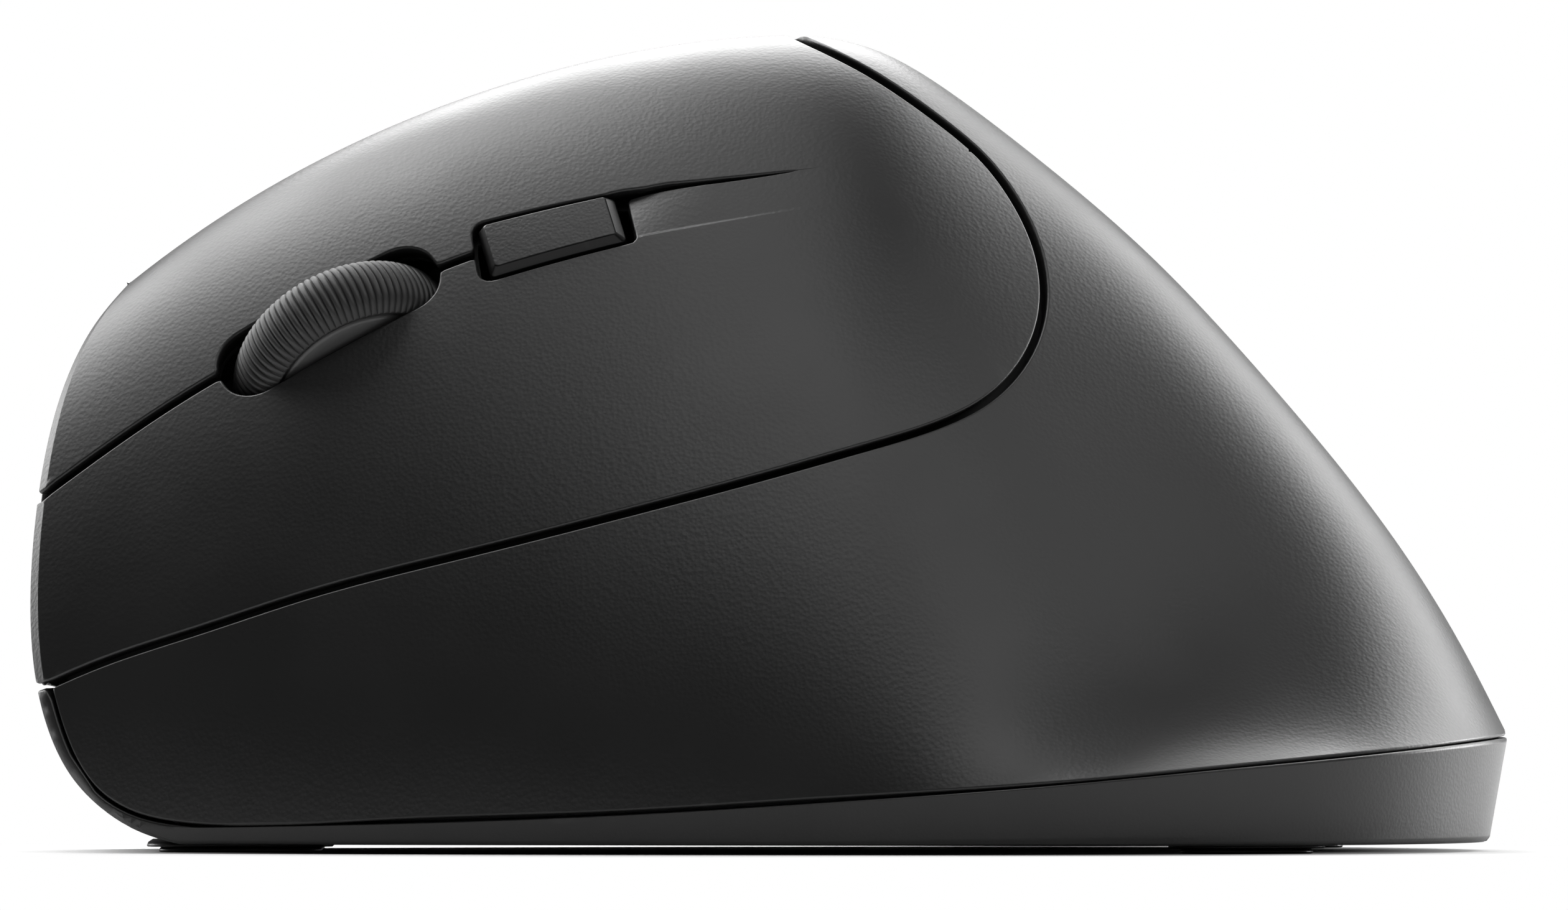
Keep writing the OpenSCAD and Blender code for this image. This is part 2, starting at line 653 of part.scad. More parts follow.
module button_board() {
    color("darkgreen") on(wheel_frame) difference() {
        box([-23.6, 28.5], [-15, 9], [board_low, board_top]);
        box([-wheel_r, wheel_r], [-slot_w / 2, slot_w / 2], [board_low - 1, board_top + 1]);
        for (p = board_holes) peg(p, board_screw_d, [board_low - 1, board_top + 1]);
    }
}

// Stations along the floor from the heel forwards: heel boss, battery bay, rear legs, main board
heel_boss_d = 5.4;
heel_boss = [(heel_end - 8.9) * grow[0], 2.5];
boss_room = 2.6;
spring_room = 2.6;
bay_end = heel_boss[0] - heel_boss_d / 2 - boss_room - tray_wall;
cell_x = bay_end - spring_room - cell_l;
bay_x = [cell_x - spring_room, bay_end];
leg_d = 5.2;
leg_room = 1.3;
leg_x = bay_x[0] - tray_wall - leg_d / 2 - leg_room;
front_leg_x = -10.5 - 35 * grow[0];
legs = [[front_leg_x, 2.2], [leg_x, 3.2], [leg_x, -6.2]];
main_l = 30.5;
main_end = leg_x - leg_d / 2 - 1.5;
main_x = [main_end - main_l, main_end];
module inner_frame() {
    color("dimgray") difference() {
        union() {
            on(wheel_frame) {
                difference() {
                    translate([0, 0, frame_low]) linear_extrude(height = frame_t) polygon(frame_outline);
                    box([-wheel_r, wheel_r], [-slot_w / 2, slot_w / 2], [frame_low - 1, frame_top + 1]);
                }
                for (p = board_holes) peg(p, 4, [frame_top - 0.5, board_low]);
            }
            difference() {
                for (p = legs) peg(p, leg_d, [floor_z, body_height]);
                on(wheel_frame) box([-90, 90], [-90, 90], [frame_top - 0.5, 90]);
            }
        }
        for (p = legs) peg(p, case_screw_d, [0, floor_z + 8]);
        on(wheel_frame) for (p = board_holes) peg(p, board_screw_d, [frame_low - 1, board_top]);
    }
}

// Main board over the floor with the optics under it
main_y = [-15, 13];
main_z = floor_z + 2.8;
main_top = main_z + board_t;
sensor_s = 11;
sensor_at = [main_x[0] + 14.6, -0.6];
module main_board() {
    color("darkgreen") difference() {
        box(main_x, main_y, [main_z, main_top]);
        peg(sensor_at, 6, [0, 20]);
        for (p = main_holes) peg(p, board_screw_d, [0, 20]);
        peg(legs[0], leg_d + 2, [0, 20]);
    }
}
main_holes = [for (x = [main_x[0] + 3.5, main_x[1] - 3], y = [-13, 10]) [x, y]];
module sensor() {
    color("black")
        box(around(sensor_at[0], sensor_s), around(sensor_at[1], sensor_s), [main_top, main_top + 3]);
}
module sensor_lens() {
    color("lightgray") {
        box(around(sensor_at[0], sensor_s + 3), around(sensor_at[1], sensor_s + 1), [floor_z, main_z]);
        peg(sensor_at, 5, [base_clear + 0.6, floor_z]);
        peg(sensor_at, 5, [main_z, main_top]);
    }
}
module light_source() {
    color("white") peg([sensor_at[0] + sensor_s / 2 + 4, sensor_at[1]], 3, [main_top, main_top + 5]);
}
chip_x = main_x[0] + 20.6;
module controller_chip() { color("black") box([chip_x, chip_x + 6], [2, 8], [main_top, main_top + 1]); }

// Flat ribbon hangs from the edge of the button board to a socket on the main board
ribbon_top = wheel_frame[0] + wheel_frame[2] * -13.4 + wheel_frame[3] * board_low;
ribbon_w = 8;
ribbon_t = 0.3;
ribbon_low = main_top + 0.5;
module ribbon_socket() {
    color("ivory") difference() {
        box(around(ribbon_top[0], ribbon_w + 2), around(ribbon_top[1], 2.8), [main_top, main_top + 2.5]);
        box(around(ribbon_top[0], ribbon_w), around(ribbon_top[1], ribbon_t), [ribbon_low, main_top + 3]);
    }
}
module ribbon() {
    color("orange") difference() {
        box(around(ribbon_top[0], ribbon_w), around(ribbon_top[1], ribbon_t), [ribbon_low, body_height]);
        on(wheel_frame) box([-90, 90], [-90, 90], [board_low, 90]);
    }
}

// Battery bay: tray over the floor opening, two cells side by side, receiver beside them
cell_z = base_clear + 0.1 + door_t + 0.5 + cell_d / 2;
cell_y = [-9.6, -9.6 + cell_d + 0.6];
bay_y = [cell_y[0] - cell_d / 2 - 0.4, cell_y[1] + cell_d / 2 + 0.4];
receiver_h = 5;
receiver_x = cell_x + 2;
receiver_y = [bay_y[1] + 1.4, bay_y[1] + 1.4 + receiver_w];
nest_x = [bay_x[0], bay_x[0] + receiver_l + 5];
nest_y = [bay_y[1], receiver_y[1] + 0.4];
lug_w = 2.8;
lug_y = [(cell_y[0] + cell_y[1]) / 2, receiver_y[0] + receiver_w / 2];
tray_top = cell_z + cell_d / 2 + 0.4;
// Block with its two long upper edges cut off at a slant
module eased_box(x, y, z, cut) {
    translate([x[0], 0, 0]) rotate([90, 0, 90]) linear_extrude(height = x[1] - x[0])
        polygon([[y[0], z[0]], [y[1], z[0]], [y[1], z[1] - cut], [y[1] - cut, z[1]], [y[0] + cut, z[1]],
                 [y[0], z[1] - cut]]);
}
module battery_tray() {
    color("dimgray") difference() {
        union() {
            eased_box(wider(bay_x, tray_wall), wider(bay_y, tray_wall), [floor_z, tray_top + tray_wall],
                      tray_wall);
            eased_box(wider(nest_x, tray_wall), [nest_y[0] - tray_wall, nest_y[1] + tray_wall],
                      [floor_z, floor_z + receiver_h + 2], tray_wall);
        }
        box(bay_x, bay_y, [floor_z - 1, tray_top]);
        box(nest_x, [nest_y[0] - 0.1, nest_y[1]], [floor_z - 1, floor_z + receiver_h + 0.6]);
        for (y = lug_y)
            box([bay_x[0] - tray_wall - 1, bay_x[0] + 1], around(y, lug_w + 1.6),
                [floor_z - 1, floor_z + 2.2]);
    }
}
module cells() {
    color("goldenrod") for (i = [0, 1]) translate([cell_x, cell_y[i], cell_z]) rotate([0, 90, 0]) {
        cylinder(h = cell_l - 0.8, d = cell_d, $fn = 48);
        translate([0, 0, cell_l - 0.8]) cylinder(h = 0.8, d = 3.8, $fn = 32);
    }
}
module contact_plates() {
    color("silver") for (i = [0, 1])
        box([cell_x + cell_l, bay_x[1]], [cell_y[i] - 3.5, cell_y[i] + 3.5], [cell_z - 4, cell_z + 4]);
}
module contact_springs() {
    color("silver") for (i = [0, 1]) translate([bay_x[0], cell_y[i], cell_z]) rotate([0, 90, 0])
        for (k = [0:3]) translate([0, 0, k * 0.65]) rotate_extrude($fn = 36)
            translate([3.4 - 0.45 * k, 0]) square([0.6, 0.65]);
}
door_x = [bay_x[0] + 0.4, bay_x[1] - 0.4];
door_y = [bay_y[0] + 0.4, nest_y[1] - 0.4];
door_z = base_clear + 0.1;
module battery_door() {
    color("dimgray") {
        box(door_x, door_y, [door_z, door_z + door_t]);
        for (y = lug_y) {
            box([door_x[0], door_x[0] + 1.2], around(y, lug_w), [door_z, floor_z + 1.3]);
            box([door_x[0] - 1.2, door_x[0] + 1.2], around(y, lug_w), [floor_z + 0.3, floor_z + 1.3]);
        }
    }
}
receiver_z = door_z + door_t + 0.3;
receiver_grip = 7;
module receiver() {
    color("black") {
        box([receiver_x, receiver_x + receiver_grip], receiver_y, [receiver_z, receiver_z + receiver_h]);
        box([receiver_x + receiver_grip, receiver_x + receiver_l], wider(receiver_y, -0.5),
            wider([receiver_z, receiver_z + receiver_h], -0.2));
    }
}

// Power slider: body under the main board, knob through a slot in the floor
power_at = [main_x[0] + 18, 9.2];
knob_l = 3.2;
knob_w = 2.4;
knob_top = main_z - 0.8;
module power_slot(low, high) {
    box(around(power_at[0], knob_l + power_stroke + 2 * running), around(power_at[1], knob_w + 2 * running),
        [low, high]);
}
module power_switch() {
    color("silver") difference() {
        box(around(power_at[0], 11), around(power_at[1], 5.2), [floor_z + 0.1, main_z]);
        power_slot(0, knob_top);
    }
}
module power_knob() {
    color("black") box(around(power_at[0] - power_stroke / 2, knob_l), around(power_at[1], knob_w),
                       [base_clear + 0.1, knob_top - running]);
}

// Feet
front_foot_at = [-43.95 * grow[0], 0];
rear_feet = [[39.4 * grow[0], -25 * grow[1], 24], [42.6 * grow[0], 24.4 * grow[1], -27]];
module front_foot(grown) {
    translate(front_foot_at) rounded(front_foot_l + 2 * grown, front_foot_w + 2 * grown, 3 + grown);
}
module rear_foot(f, grown) {
    translate([f[0], f[1]]) rotate(f[2]) stadium(rear_foot_l + 2 * grown, rear_foot_w + 2 * grown);
}
module front_glide() { color("darkgray") linear_extrude(height = base_clear - pad_rise) front_foot(0); }
module rear_glides() {
    color("darkgray") for (f = rear_feet) translate([f[0], f[1], 0]) rotate(f[2]) {
        l = (rear_foot_l - rear_foot_w) / 2;
        h = base_clear - pad_rise;
        for (s = [-l, l]) translate([s, 0, 0]) cylinder(h = h, d = rear_foot_w, $fn = 32);
        translate([-l, -rear_foot_w / 2, 0]) cube([2 * l, rear_foot_w, h]);
    }
}

// Play round a screw in a moulded hole
thread_room = 0.1;
module bottom_case() {
    color("dimgray") moulded() difference() {
        union() {
            intersection() {
                skin();
                base_region(0, 0.15);
            }
            translate([0, 0, base_clear - pad_rise]) {
                linear_extrude(height = pad_rise + base_floor * 0.6) front_foot(1);
                for (f = rear_feet) linear_extrude(height = pad_rise + 0.5) rear_foot(f, 1);
            }
            for (p = main_holes) peg(p, 4.4, [floor_z - 0.5, main_z]);
        }
        for (p = main_holes) peg(p, board_screw_d + thread_room, [floor_z, main_z + 1]);
        for (p = concat(legs, [heel_boss])) {
            peg(p, case_screw_d + 0.5, [0, floor_z + 1]);
            peg(p, case_screw_d + 3, [0, base_clear + 1]);
        }
        box(wider(door_x, door_gap), wider(door_y, door_gap), [0, floor_z + 1]);
        peg(sensor_at, 8, [0, floor_z + 0.5]);
        power_slot(0, floor_z + 1);
    }
}

module main_shell() {
    color("dimgray") moulded() {
        difference() {
            skin();
            base_region(base_gap, -0.1);
            cover_region(1);
            intersection() {
                side() for (i = [0, 1]) thumb_outline_of(i, thumb_gap);
                translate([-100, 6, 0]) cube([200, 100, 100]);
            }
        }
        intersection() {
            union() {
                for (p = thumb_posts) across(p, 4.4, [thumb_board_y + board_t, 40]);
                bridge_ledge();
                difference() {
                    peg(heel_boss, heel_boss_d, [floor_z, 60]);
                    peg(heel_boss, case_screw_d + thread_room, [0, floor_z + 8]);
                }
            }
            loft(-wall / 2, -5);
        }
    }
}

module case_screws() {
    color("silver") for (p = concat(legs, [heel_boss])) {
        peg(p, case_screw_d + 2.4, [base_clear + 0.1, base_clear + 1]);
        peg(p, case_screw_d, [base_clear + 1, floor_z + 7]);
    }
}
module board_screws() {
    color("silver") {
        on(wheel_frame) for (p = board_holes) {
            peg(p, board_screw_d + 1.8, [board_top, board_top + 1]);
            peg(p, board_screw_d, [frame_low, board_top]);
        }
        for (p = main_holes) {
            peg(p, board_screw_d + 1.8, [main_top, main_top + 1]);
            peg(p, board_screw_d, [floor_z + 0.2, main_top]);
        }
        for (p = thumb_posts) {
            across(p, board_screw_d + 1.8, [thumb_board_y - 1, thumb_board_y]);
            across(p, board_screw_d, [thumb_board_y, thumb_board_y + board_t]);
        }
    }
}

bottom_case();
main_shell();
cover_bridge();
index_button();
middle_button();
scroll_tyre();
wheel_hub();
wheel_carrier();
wheel_encoder();
click_switch();
click_plunger();
index_switch();
index_plunger();
middle_switch();
middle_plunger();
resolution_button();
resolution_switch();
resolution_plunger();
forward_button();
back_button();
forward_plunger();
back_plunger();
thumb_board();
thumb_switches();
button_board();
inner_frame();
main_board();
sensor();
sensor_lens();
light_source();
controller_chip();
ribbon_socket();
ribbon();
battery_tray();
cells();
contact_springs();
contact_plates();
battery_door();
receiver();
power_switch();
power_knob();
front_glide();
rear_glides();
case_screws();
board_screws();
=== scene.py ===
"""Left-handed vertical mouse: moulded skins, ribbed wheel and studio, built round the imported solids."""
import math

import bpy
import numpy as np
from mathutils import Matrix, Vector, geometry


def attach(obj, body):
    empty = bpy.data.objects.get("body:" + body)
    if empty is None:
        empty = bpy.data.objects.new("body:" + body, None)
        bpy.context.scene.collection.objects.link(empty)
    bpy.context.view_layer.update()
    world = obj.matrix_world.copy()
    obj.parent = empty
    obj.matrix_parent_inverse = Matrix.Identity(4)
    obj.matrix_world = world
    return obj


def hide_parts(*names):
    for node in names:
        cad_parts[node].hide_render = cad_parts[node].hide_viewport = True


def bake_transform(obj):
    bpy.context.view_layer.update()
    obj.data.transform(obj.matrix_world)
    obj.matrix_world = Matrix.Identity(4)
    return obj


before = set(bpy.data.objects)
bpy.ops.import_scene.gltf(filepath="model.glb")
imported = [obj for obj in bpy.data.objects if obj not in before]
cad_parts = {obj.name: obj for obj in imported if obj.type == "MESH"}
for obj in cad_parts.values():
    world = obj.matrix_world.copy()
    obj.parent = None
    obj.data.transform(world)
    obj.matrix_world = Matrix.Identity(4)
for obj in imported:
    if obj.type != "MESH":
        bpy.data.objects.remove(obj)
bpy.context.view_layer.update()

# All shapes are worked out in millimetres, in the frame of the solids
MM = 0.001

# Body sizes, as in the solids
HALF_WIDTH = 38.0
HEEL_START = 20.0
HEEL_END = 61.4
BASE_CLEAR = 0.75
BASE_DRAFT = math.radians(10)
SEAM_GAP = 0.6
BASE_GAP = 0.25
THUMB_SEAM_GAP = 0.9
FRONT_WALL_TOP = 13.4
SHELL_WALL = 1.4
SHELL_FOOT_WALL = 0.4
BASE_WALL = 1.3


class Curve:
    """Natural cubic spline through points (x, value)."""

    def __init__(self, points):
        self.x, self.y = np.array(points, float).T
        count, h = len(self.x), np.diff(self.x)
        rows, right = np.eye(count), np.zeros(count)
        for i in range(1, count - 1):
            rows[i, i - 1:i + 2] = h[i - 1], 2 * (h[i - 1] + h[i]), h[i]
            right[i] = 6 * ((self.y[i + 1] - self.y[i]) / h[i] - (self.y[i] - self.y[i - 1]) / h[i - 1])
        self.m = np.linalg.solve(rows, right)

    def __call__(self, t):
        t = np.asarray(t, float)
        i = np.clip(np.searchsorted(self.x, t, side="right") - 1, 0, len(self.x) - 2)
        h = self.x[i + 1] - self.x[i]
        a, b = (self.x[i + 1] - t) / h, (t - self.x[i]) / h
        bend = ((a**3 - a) * self.m[i] + (b**3 - b) * self.m[i + 1]) * h * h / 6
        return a * self.y[i] + b * self.y[i + 1] + bend


def run_along(points):
    """Length covered along a polyline up to each of its points."""
    return np.concatenate([[0], np.cumsum(np.linalg.norm(np.diff(points, axis=0), axis=1))])


def resampled(points, run, t):
    """Columns of points, known at the lengths run, read off at the lengths t."""
    return np.stack([np.interp(t, run, column) for column in points.T], 1)


def path(points, steps=600):
    """Smooth polyline through points in a plane."""
    points = np.array(points, float)
    run = run_along(points)
    t = np.linspace(0, run[-1], steps + 1)
    return np.stack([Curve(np.stack([run, column], 1))(t) for column in points.T], 1)


# Guide curves along the length
ridge_z = Curve([(-62, 39.9), (-52, 48.4), (-40, 56.3), (-26, 62.6), (-12, 66.5), (0, 67.95), (6, 67.6),
                 (10, 66.3), (15, 63.3), (22, 58), (32, 49.35), (43, 37.4), (52, 26), (58, 16.3),
                 (61.4, 9.6)])
ridge_y = Curve([(-62, 4.5), (-50, 6.5), (-30, 9.5), (-5, 12.5), (10, 13), (30, 10), (48, 5), (61.4, 0)])
edge_z = Curve([(-62, 2), (-47, 2.2), (-31, 2.55), (-12, 3.3), (8, 4.6), (21, 5.6), (38, 7.2), (47, 8),
                (61.4, 9.4)])
finger_w = Curve([(-62, 0.46), (-50, 0.6), (-30, 0.775), (-5, 0.9), (15, 0.975), (33, 1.02), (61.4, 1.05)])
thumb_w = Curve([(-62, 0.36), (-50, 0.48), (-30, 0.68), (-5, 0.87), (15, 0.97), (33, 1.02), (61.4, 1.05)])
finger_lean = Curve([(-62, 0.02), (-30, 0.02), (0, 0.06), (18, 0.2), (32, 0.42), (44, 0.45), (54, 0.38),
                     (61.4, 0.33)])
finger_rise = Curve([(-62, 0.42), (-30, 0.4), (0, 0.36), (18, 0.27), (32, 0.18), (44, 0.2), (54, 0.38),
                     (61.4, 0.62)])
shoulder = Curve([(-62, 0.42), (0, 0.42), (30, 0.4), (61.4, 0.34)])
crest = Curve([(-62, 0.4), (0, 0.4), (30, 0.38), (61.4, 0.34)])
ledge = Curve([(-62, 0.3), (-30, 0.75), (-5, 0.95), (20, 0.85), (45, 0.48), (61.4, 0.33)])
lift = Curve([(-62, 0.4), (-30, 0.22), (-5, 0.14), (20, 0.16), (45, 0.36), (61.4, 0.62)])


def section(x):
    """Control points of the section at station x, finger edge to ridge to thumb edge."""
    reach = np.clip((x - HEEL_START) / (HEEL_END - HEEL_START), 0, 1)
    heel = np.sqrt(1 - reach**2.5)
    yf, yt = -HALF_WIDTH * finger_w(x) * heel, HALF_WIDTH * thumb_w(x) * heel
    low, top_y, top_z = edge_z(x), ridge_y(x), ridge_z(x)
    wf, wt, h = top_y - yf, yt - top_y, top_z - low
    ys = [yf, yf + finger_lean(x) * wf, top_y - shoulder(x) * wf, top_y, top_y + crest(x) * wt,
          yt - ledge(x) * wt, yt]
    zs = [low, low + finger_rise(x) * h, top_z, top_z, top_z, low + lift(x) * h, low]
    return np.stack([np.stack(ys, -1), np.stack(zs, -1)], -1)


BAND_ROUND = 0.5


def band_drop(height, t):
    """Inward step and drop of the base band at share t of its way down, rounded at the foot."""
    turn = math.pi / 2 - BASE_DRAFT
    arc_drop = BAND_ROUND * (1 - math.sin(BASE_DRAFT))
    straight = np.maximum(height - arc_drop, 0.02) / math.cos(BASE_DRAFT)
    arc = BAND_ROUND * turn
    way = t * (straight + arc)
    down = np.minimum(way, straight)
    angle = BASE_DRAFT + np.clip((way - straight) / BAND_ROUND, 0, turn)
    inset = down * math.sin(BASE_DRAFT) + BAND_ROUND * (math.cos(BASE_DRAFT) - np.cos(angle))
    drop = down * math.cos(BASE_DRAFT) + BAND_ROUND * (np.sin(angle) - math.sin(BASE_DRAFT))
    return inset, drop


def skin(x, v):
    """Point of the skin at station x and girth v.

    Girth 0 is the finger edge, 1 the ridge and 2 the thumb edge. The base band lies past either edge.
    """
    x, v = np.broadcast_arrays(np.asarray(x, float), np.asarray(v, float))
    points = section(x)
    inner = np.clip(v, 0, 2)
    first = inner < 1
    t = np.where(first, inner, inner - 1)[..., None]
    q = [np.where(first[..., None], points[..., k, :], points[..., k + 3, :]) for k in range(4)]
    yz = q[0] * (1 - t)**3 + 3 * q[1] * t * (1 - t)**2 + 3 * q[2] * t * t * (1 - t) + q[3] * t**3
    out = np.concatenate([x[..., None], yz], -1)
    past = np.maximum(-v, v - 2)
    if np.any(past > 0):
        step = 0.02
        ahead, behind = np.minimum(x + step, HEEL_END - 1e-6), x - step
        end = np.where(v < 1, 0.0, 2.0)
        way = skin(ahead, end) - skin(behind, end)
        length = np.hypot(way[..., 0], way[..., 1])
        side = np.where(v < 1, -1.0, 1.0)
        inward = np.stack([side * way[..., 1] / length, -side * way[..., 0] / length], -1)
        inset, drop = band_drop(out[..., 2] - BASE_CLEAR, np.clip(past, 0, 1))
        on = past > 0
        out[..., 0] += np.where(on, inset * inward[..., 0], 0)
        out[..., 1] += np.where(on, inset * inward[..., 1], 0)
        out[..., 2] -= np.where(on, drop, 0)
    return out


def bisect(test, low, high, rounds=45):
    """Where test, an array function, turns from below zero to above."""
    low, high = np.array(low, float), np.array(high, float)
    for _ in range(rounds):
        middle = (low + high) / 2
        below = test(middle) < 0
        low, high = np.where(below, middle, low), np.where(below, high, middle)
    return (low + high) / 2


# Nose in side view, and the station where each girth line reaches it
nose_line = path([(-44, 57), (-48.5, 52), (-51.5, 49.3), (-53.7, 47), (-56.2, 43.9), (-57.9, 40.8),
                  (-59.9, 34.6), (-60.9, 28.4), (-61.35, 20.5), (-60.6, 13), (-59.5, 9.4), (-57.9, 6.4),
                  (-55.2, 3.6), (-52, 1.7), (-48, 0.5)], 6000)
NOSE_REACH = (-62.4, -38.0)


def nose_x(z):
    return np.interp(z, nose_line[::-1, 1], nose_line[::-1, 0])


girth_table = np.linspace(-1, 3, 8001)
edge_x_table = bisect(lambda x: x - nose_x(skin(x, girth_table)[..., 2]),
                      np.full_like(girth_table, NOSE_REACH[0]), np.full_like(girth_table, NOSE_REACH[1]))
edge_table = skin(edge_x_table, girth_table)

# Thumb-side parting line of the cover, in plan: along the ridge and down the middle of the nose
thumb_seam = path([(12, 12.4), (3, 13.2), (-2, 13.9), (-8, 13.7), (-16, 12.7), (-30, 10.9), (-44, 8.8),
                   (-53, 7.3), (-64, 6.4)], 3000)
thumb_seam_x = thumb_seam[::-1, 0]


def seam_y(x):
    return np.interp(x, thumb_seam_x, thumb_seam[::-1, 1])


half_table = np.where(girth_table < 1, 1, -1) * (seam_y(edge_x_table) - edge_table[:, 1])
half_table = np.maximum(half_table, 0)
CHAMFER = 0.8
CHAMFER_RAMP = 5.0
CHAMFER_LEAST = 0.01


def by_girth(table, v):
    return np.interp(v, girth_table, table)


def edge_x(v):
    return by_girth(edge_x_table, v)


def half_front(v):
    """Width of the nose face from its edge to the parting line."""
    return by_girth(half_table, v)


def chamfer(v):
    """Half width of the nose chamfer, less where the nose face is narrow."""
    w = half_front(v)
    return CHAMFER * w / (w + CHAMFER_RAMP) + CHAMFER_LEAST


def outer(s, v):
    """Point of the outer surface at girth v, s behind the nose edge. Below zero, s crosses the nose."""
    s, v = np.broadcast_arrays(np.asarray(s, float), np.asarray(v, float))
    c = chamfer(v)
    x = np.minimum(edge_x(v) + np.maximum(s, c), HEEL_END - 9e-6)
    on_skin = skin(x, v)
    face = np.stack([by_girth(edge_table[:, k], v) for k in range(3)], -1)
    face[..., 1] += np.where(v < 1, 1, -1) * np.maximum(-s, c)
    t = np.clip((c - s) / (2 * c), 0, 1)[..., None]
    return on_skin * (1 - t) + face * t


# Chart of the surface, near millimetres both ways: station along, rolled out round the heel, and girth
GIRTH_SCALE = 75.0
BAND_SCALE = 10.0
UNROLL_FROM = 10.0
unroll_x = HEEL_END - np.linspace(math.sqrt(HEEL_END - UNROLL_FROM), 0.003, 4000)**2
unroll_ring = skin(unroll_x, 0.0)
unroll_run = run_along(unroll_ring) + UNROLL_FROM


def rolled(x):
    """Chart station of a place along the body."""
    return np.where(x < UNROLL_FROM, x, np.interp(x, unroll_x, unroll_run))


def station(roll):
    return np.where(roll < UNROLL_FROM, roll, np.interp(roll, unroll_run, unroll_x))


def girth_of(g):
    """Girth from its chart value; the base band past either edge has a scale of its own."""
    top = 2 * GIRTH_SCALE
    return np.where(g < 0, g / BAND_SCALE, np.where(g > top, 2 + (g - top) / BAND_SCALE, g / GIRTH_SCALE))


def charted(s, v):
    """Chart points from the way back of the nose edge and the girth."""
    s, v = np.broadcast_arrays(np.asarray(s, float), np.asarray(v, float))
    past = 2 * GIRTH_SCALE + (v - 2) * BAND_SCALE
    g = np.where(v < 0, v * BAND_SCALE, np.where(v > 2, past, v * GIRTH_SCALE))
    return np.stack([rolled(edge_x(v) + s), g], -1)


def behind_edge(q):
    """How far chart points lie behind the nose edge."""
    return station(q[:, 0]) - edge_x(girth_of(q[:, 1]))


def chart(q):
    v = girth_of(q[:, 1])
    return outer(station(q[:, 0]) - edge_x(v), v)


def normals_of(surface, q, step=0.02):
    """Outward normals of a charted surface at the points q."""
    along, round_ = np.array([step, 0]), np.array([0, step])
    n = np.cross(surface(q + along) - surface(q - along), surface(q + round_) - surface(q - round_))
    return n / np.maximum(np.linalg.norm(n, axis=1, keepdims=True), 1e-12)


def slopes_of(surface, q, step=0.02):
    """Derivatives of a charted surface: an array of 3 by 2 matrices."""
    along, round_ = np.array([step, 0]), np.array([0, step])
    sides = [surface(q + way) - surface(q - way) for way in (along, round_)]
    return np.stack(sides, -1) / (2 * step)


def girth_at(x, z, side):
    """Girth of the skin at station x and height z, on the finger side or the thumb side."""
    if side == "finger":
        return bisect(lambda v: skin(x, v)[..., 2] - z, np.zeros_like(x), np.ones_like(x))
    return bisect(lambda v: z - skin(x, v)[..., 2], np.ones_like(x), np.full_like(x, 2.0))


def to_chart(line, side):
    """Side-view polyline (x, z) brought onto the chart."""
    v = girth_at(line[:, 0], line[:, 1], side)
    return charted(line[:, 0] - edge_x(v), v)


def edge_girth(z, side):
    """Girth where the nose edge stands at height z."""
    start = 0 if side == "finger" else 1
    use = (girth_table >= start) & (girth_table <= start + 1)
    heights, girths = edge_table[use, 2], girth_table[use]
    order = np.argsort(heights)
    return float(np.interp(z, heights[order], girths[order]))


def across_nose(z, side, gap, steps=60):
    """Level line over the nose face, from the parting line out to the edge."""
    v = edge_girth(z, side)
    s = np.linspace(gap - half_front(v), float(chamfer(v)), steps)
    return charted(s, v)


def down_nose(z_from, z_to, side, gap, steps=200):
    """Line down or up the nose face beside the parting line."""
    v = np.array([edge_girth(z, side) for z in np.linspace(z_from, z_to, steps)])
    return charted(np.minimum(gap - half_front(v), chamfer(v)), v)


def left_of(line):
    """Unit vectors to the left of a polyline."""
    way = np.gradient(line, axis=0)
    way /= np.linalg.norm(way, axis=1, keepdims=True)
    return np.stack([-way[:, 1], way[:, 0]], 1)


def shifted(line, by):
    """Polyline moved sideways to its left by a distance."""
    return line + by * left_of(line)


def seam_from_nose(line, side, gap):
    """A side-view seam with its run over the nose, from the parting line to the back, on the chart."""
    clear = line[:, 0] - nose_x(line[:, 1])
    first = int(np.argmax(clear > 0))
    z = line[first, 1]
    if first:
        share = -clear[first - 1] / (clear[first] - clear[first - 1])
        z = line[first - 1, 1] + share * (line[first, 1] - line[first - 1, 1])
    run = across_nose(z, side, gap)
    rest = to_chart(line[first:], side)
    return np.concatenate([run, rest[behind_edge(rest) > behind_edge(run[-1:]) + 0.3]])


def crossings(a, b):
    """Pairs of places along polylines a and b, as index numbers, where they cross, in order along a."""
    p, r = a[:-1, None], np.diff(a, axis=0)[:, None]
    q, t = b[None, :-1], np.diff(b, axis=0)[None]
    base = r[..., 0] * t[..., 1] - r[..., 1] * t[..., 0]
    base = np.where(np.abs(base) < 1e-12, 1e-12, base)
    gap = q - p
    i = (gap[..., 0] * t[..., 1] - gap[..., 1] * t[..., 0]) / base
    j = (gap[..., 0] * r[..., 1] - gap[..., 1] * r[..., 0]) / base
    hits = np.argwhere((i >= 0) & (i < 1) & (j >= 0) & (j < 1))
    found = [(m + i[m, n], n + j[m, n]) for m, n in hits]
    return sorted(found)


def at(line, place):
    k = min(int(place), len(line) - 2)
    return line[k] + (place - k) * (line[k + 1] - line[k])


def part_of(line, start, end):
    """Stretch of a polyline between two places along it, in either direction."""
    if start > end:
        return part_of(line, end, start)[::-1]
    inner = line[int(math.floor(start)) + 1:int(math.ceil(end))]
    return np.concatenate([[at(line, start)], inner, [at(line, end)]])


def weave(base, detour):
    """Base line that leaves along the detour between their first and last crossing."""
    hits = crossings(base, detour)
    (start, first), (end, last) = hits[0], hits[-1]
    return np.concatenate([part_of(base, 0, start), part_of(detour, first, last)[1:-1],
                           part_of(base, end, len(base) - 1)])


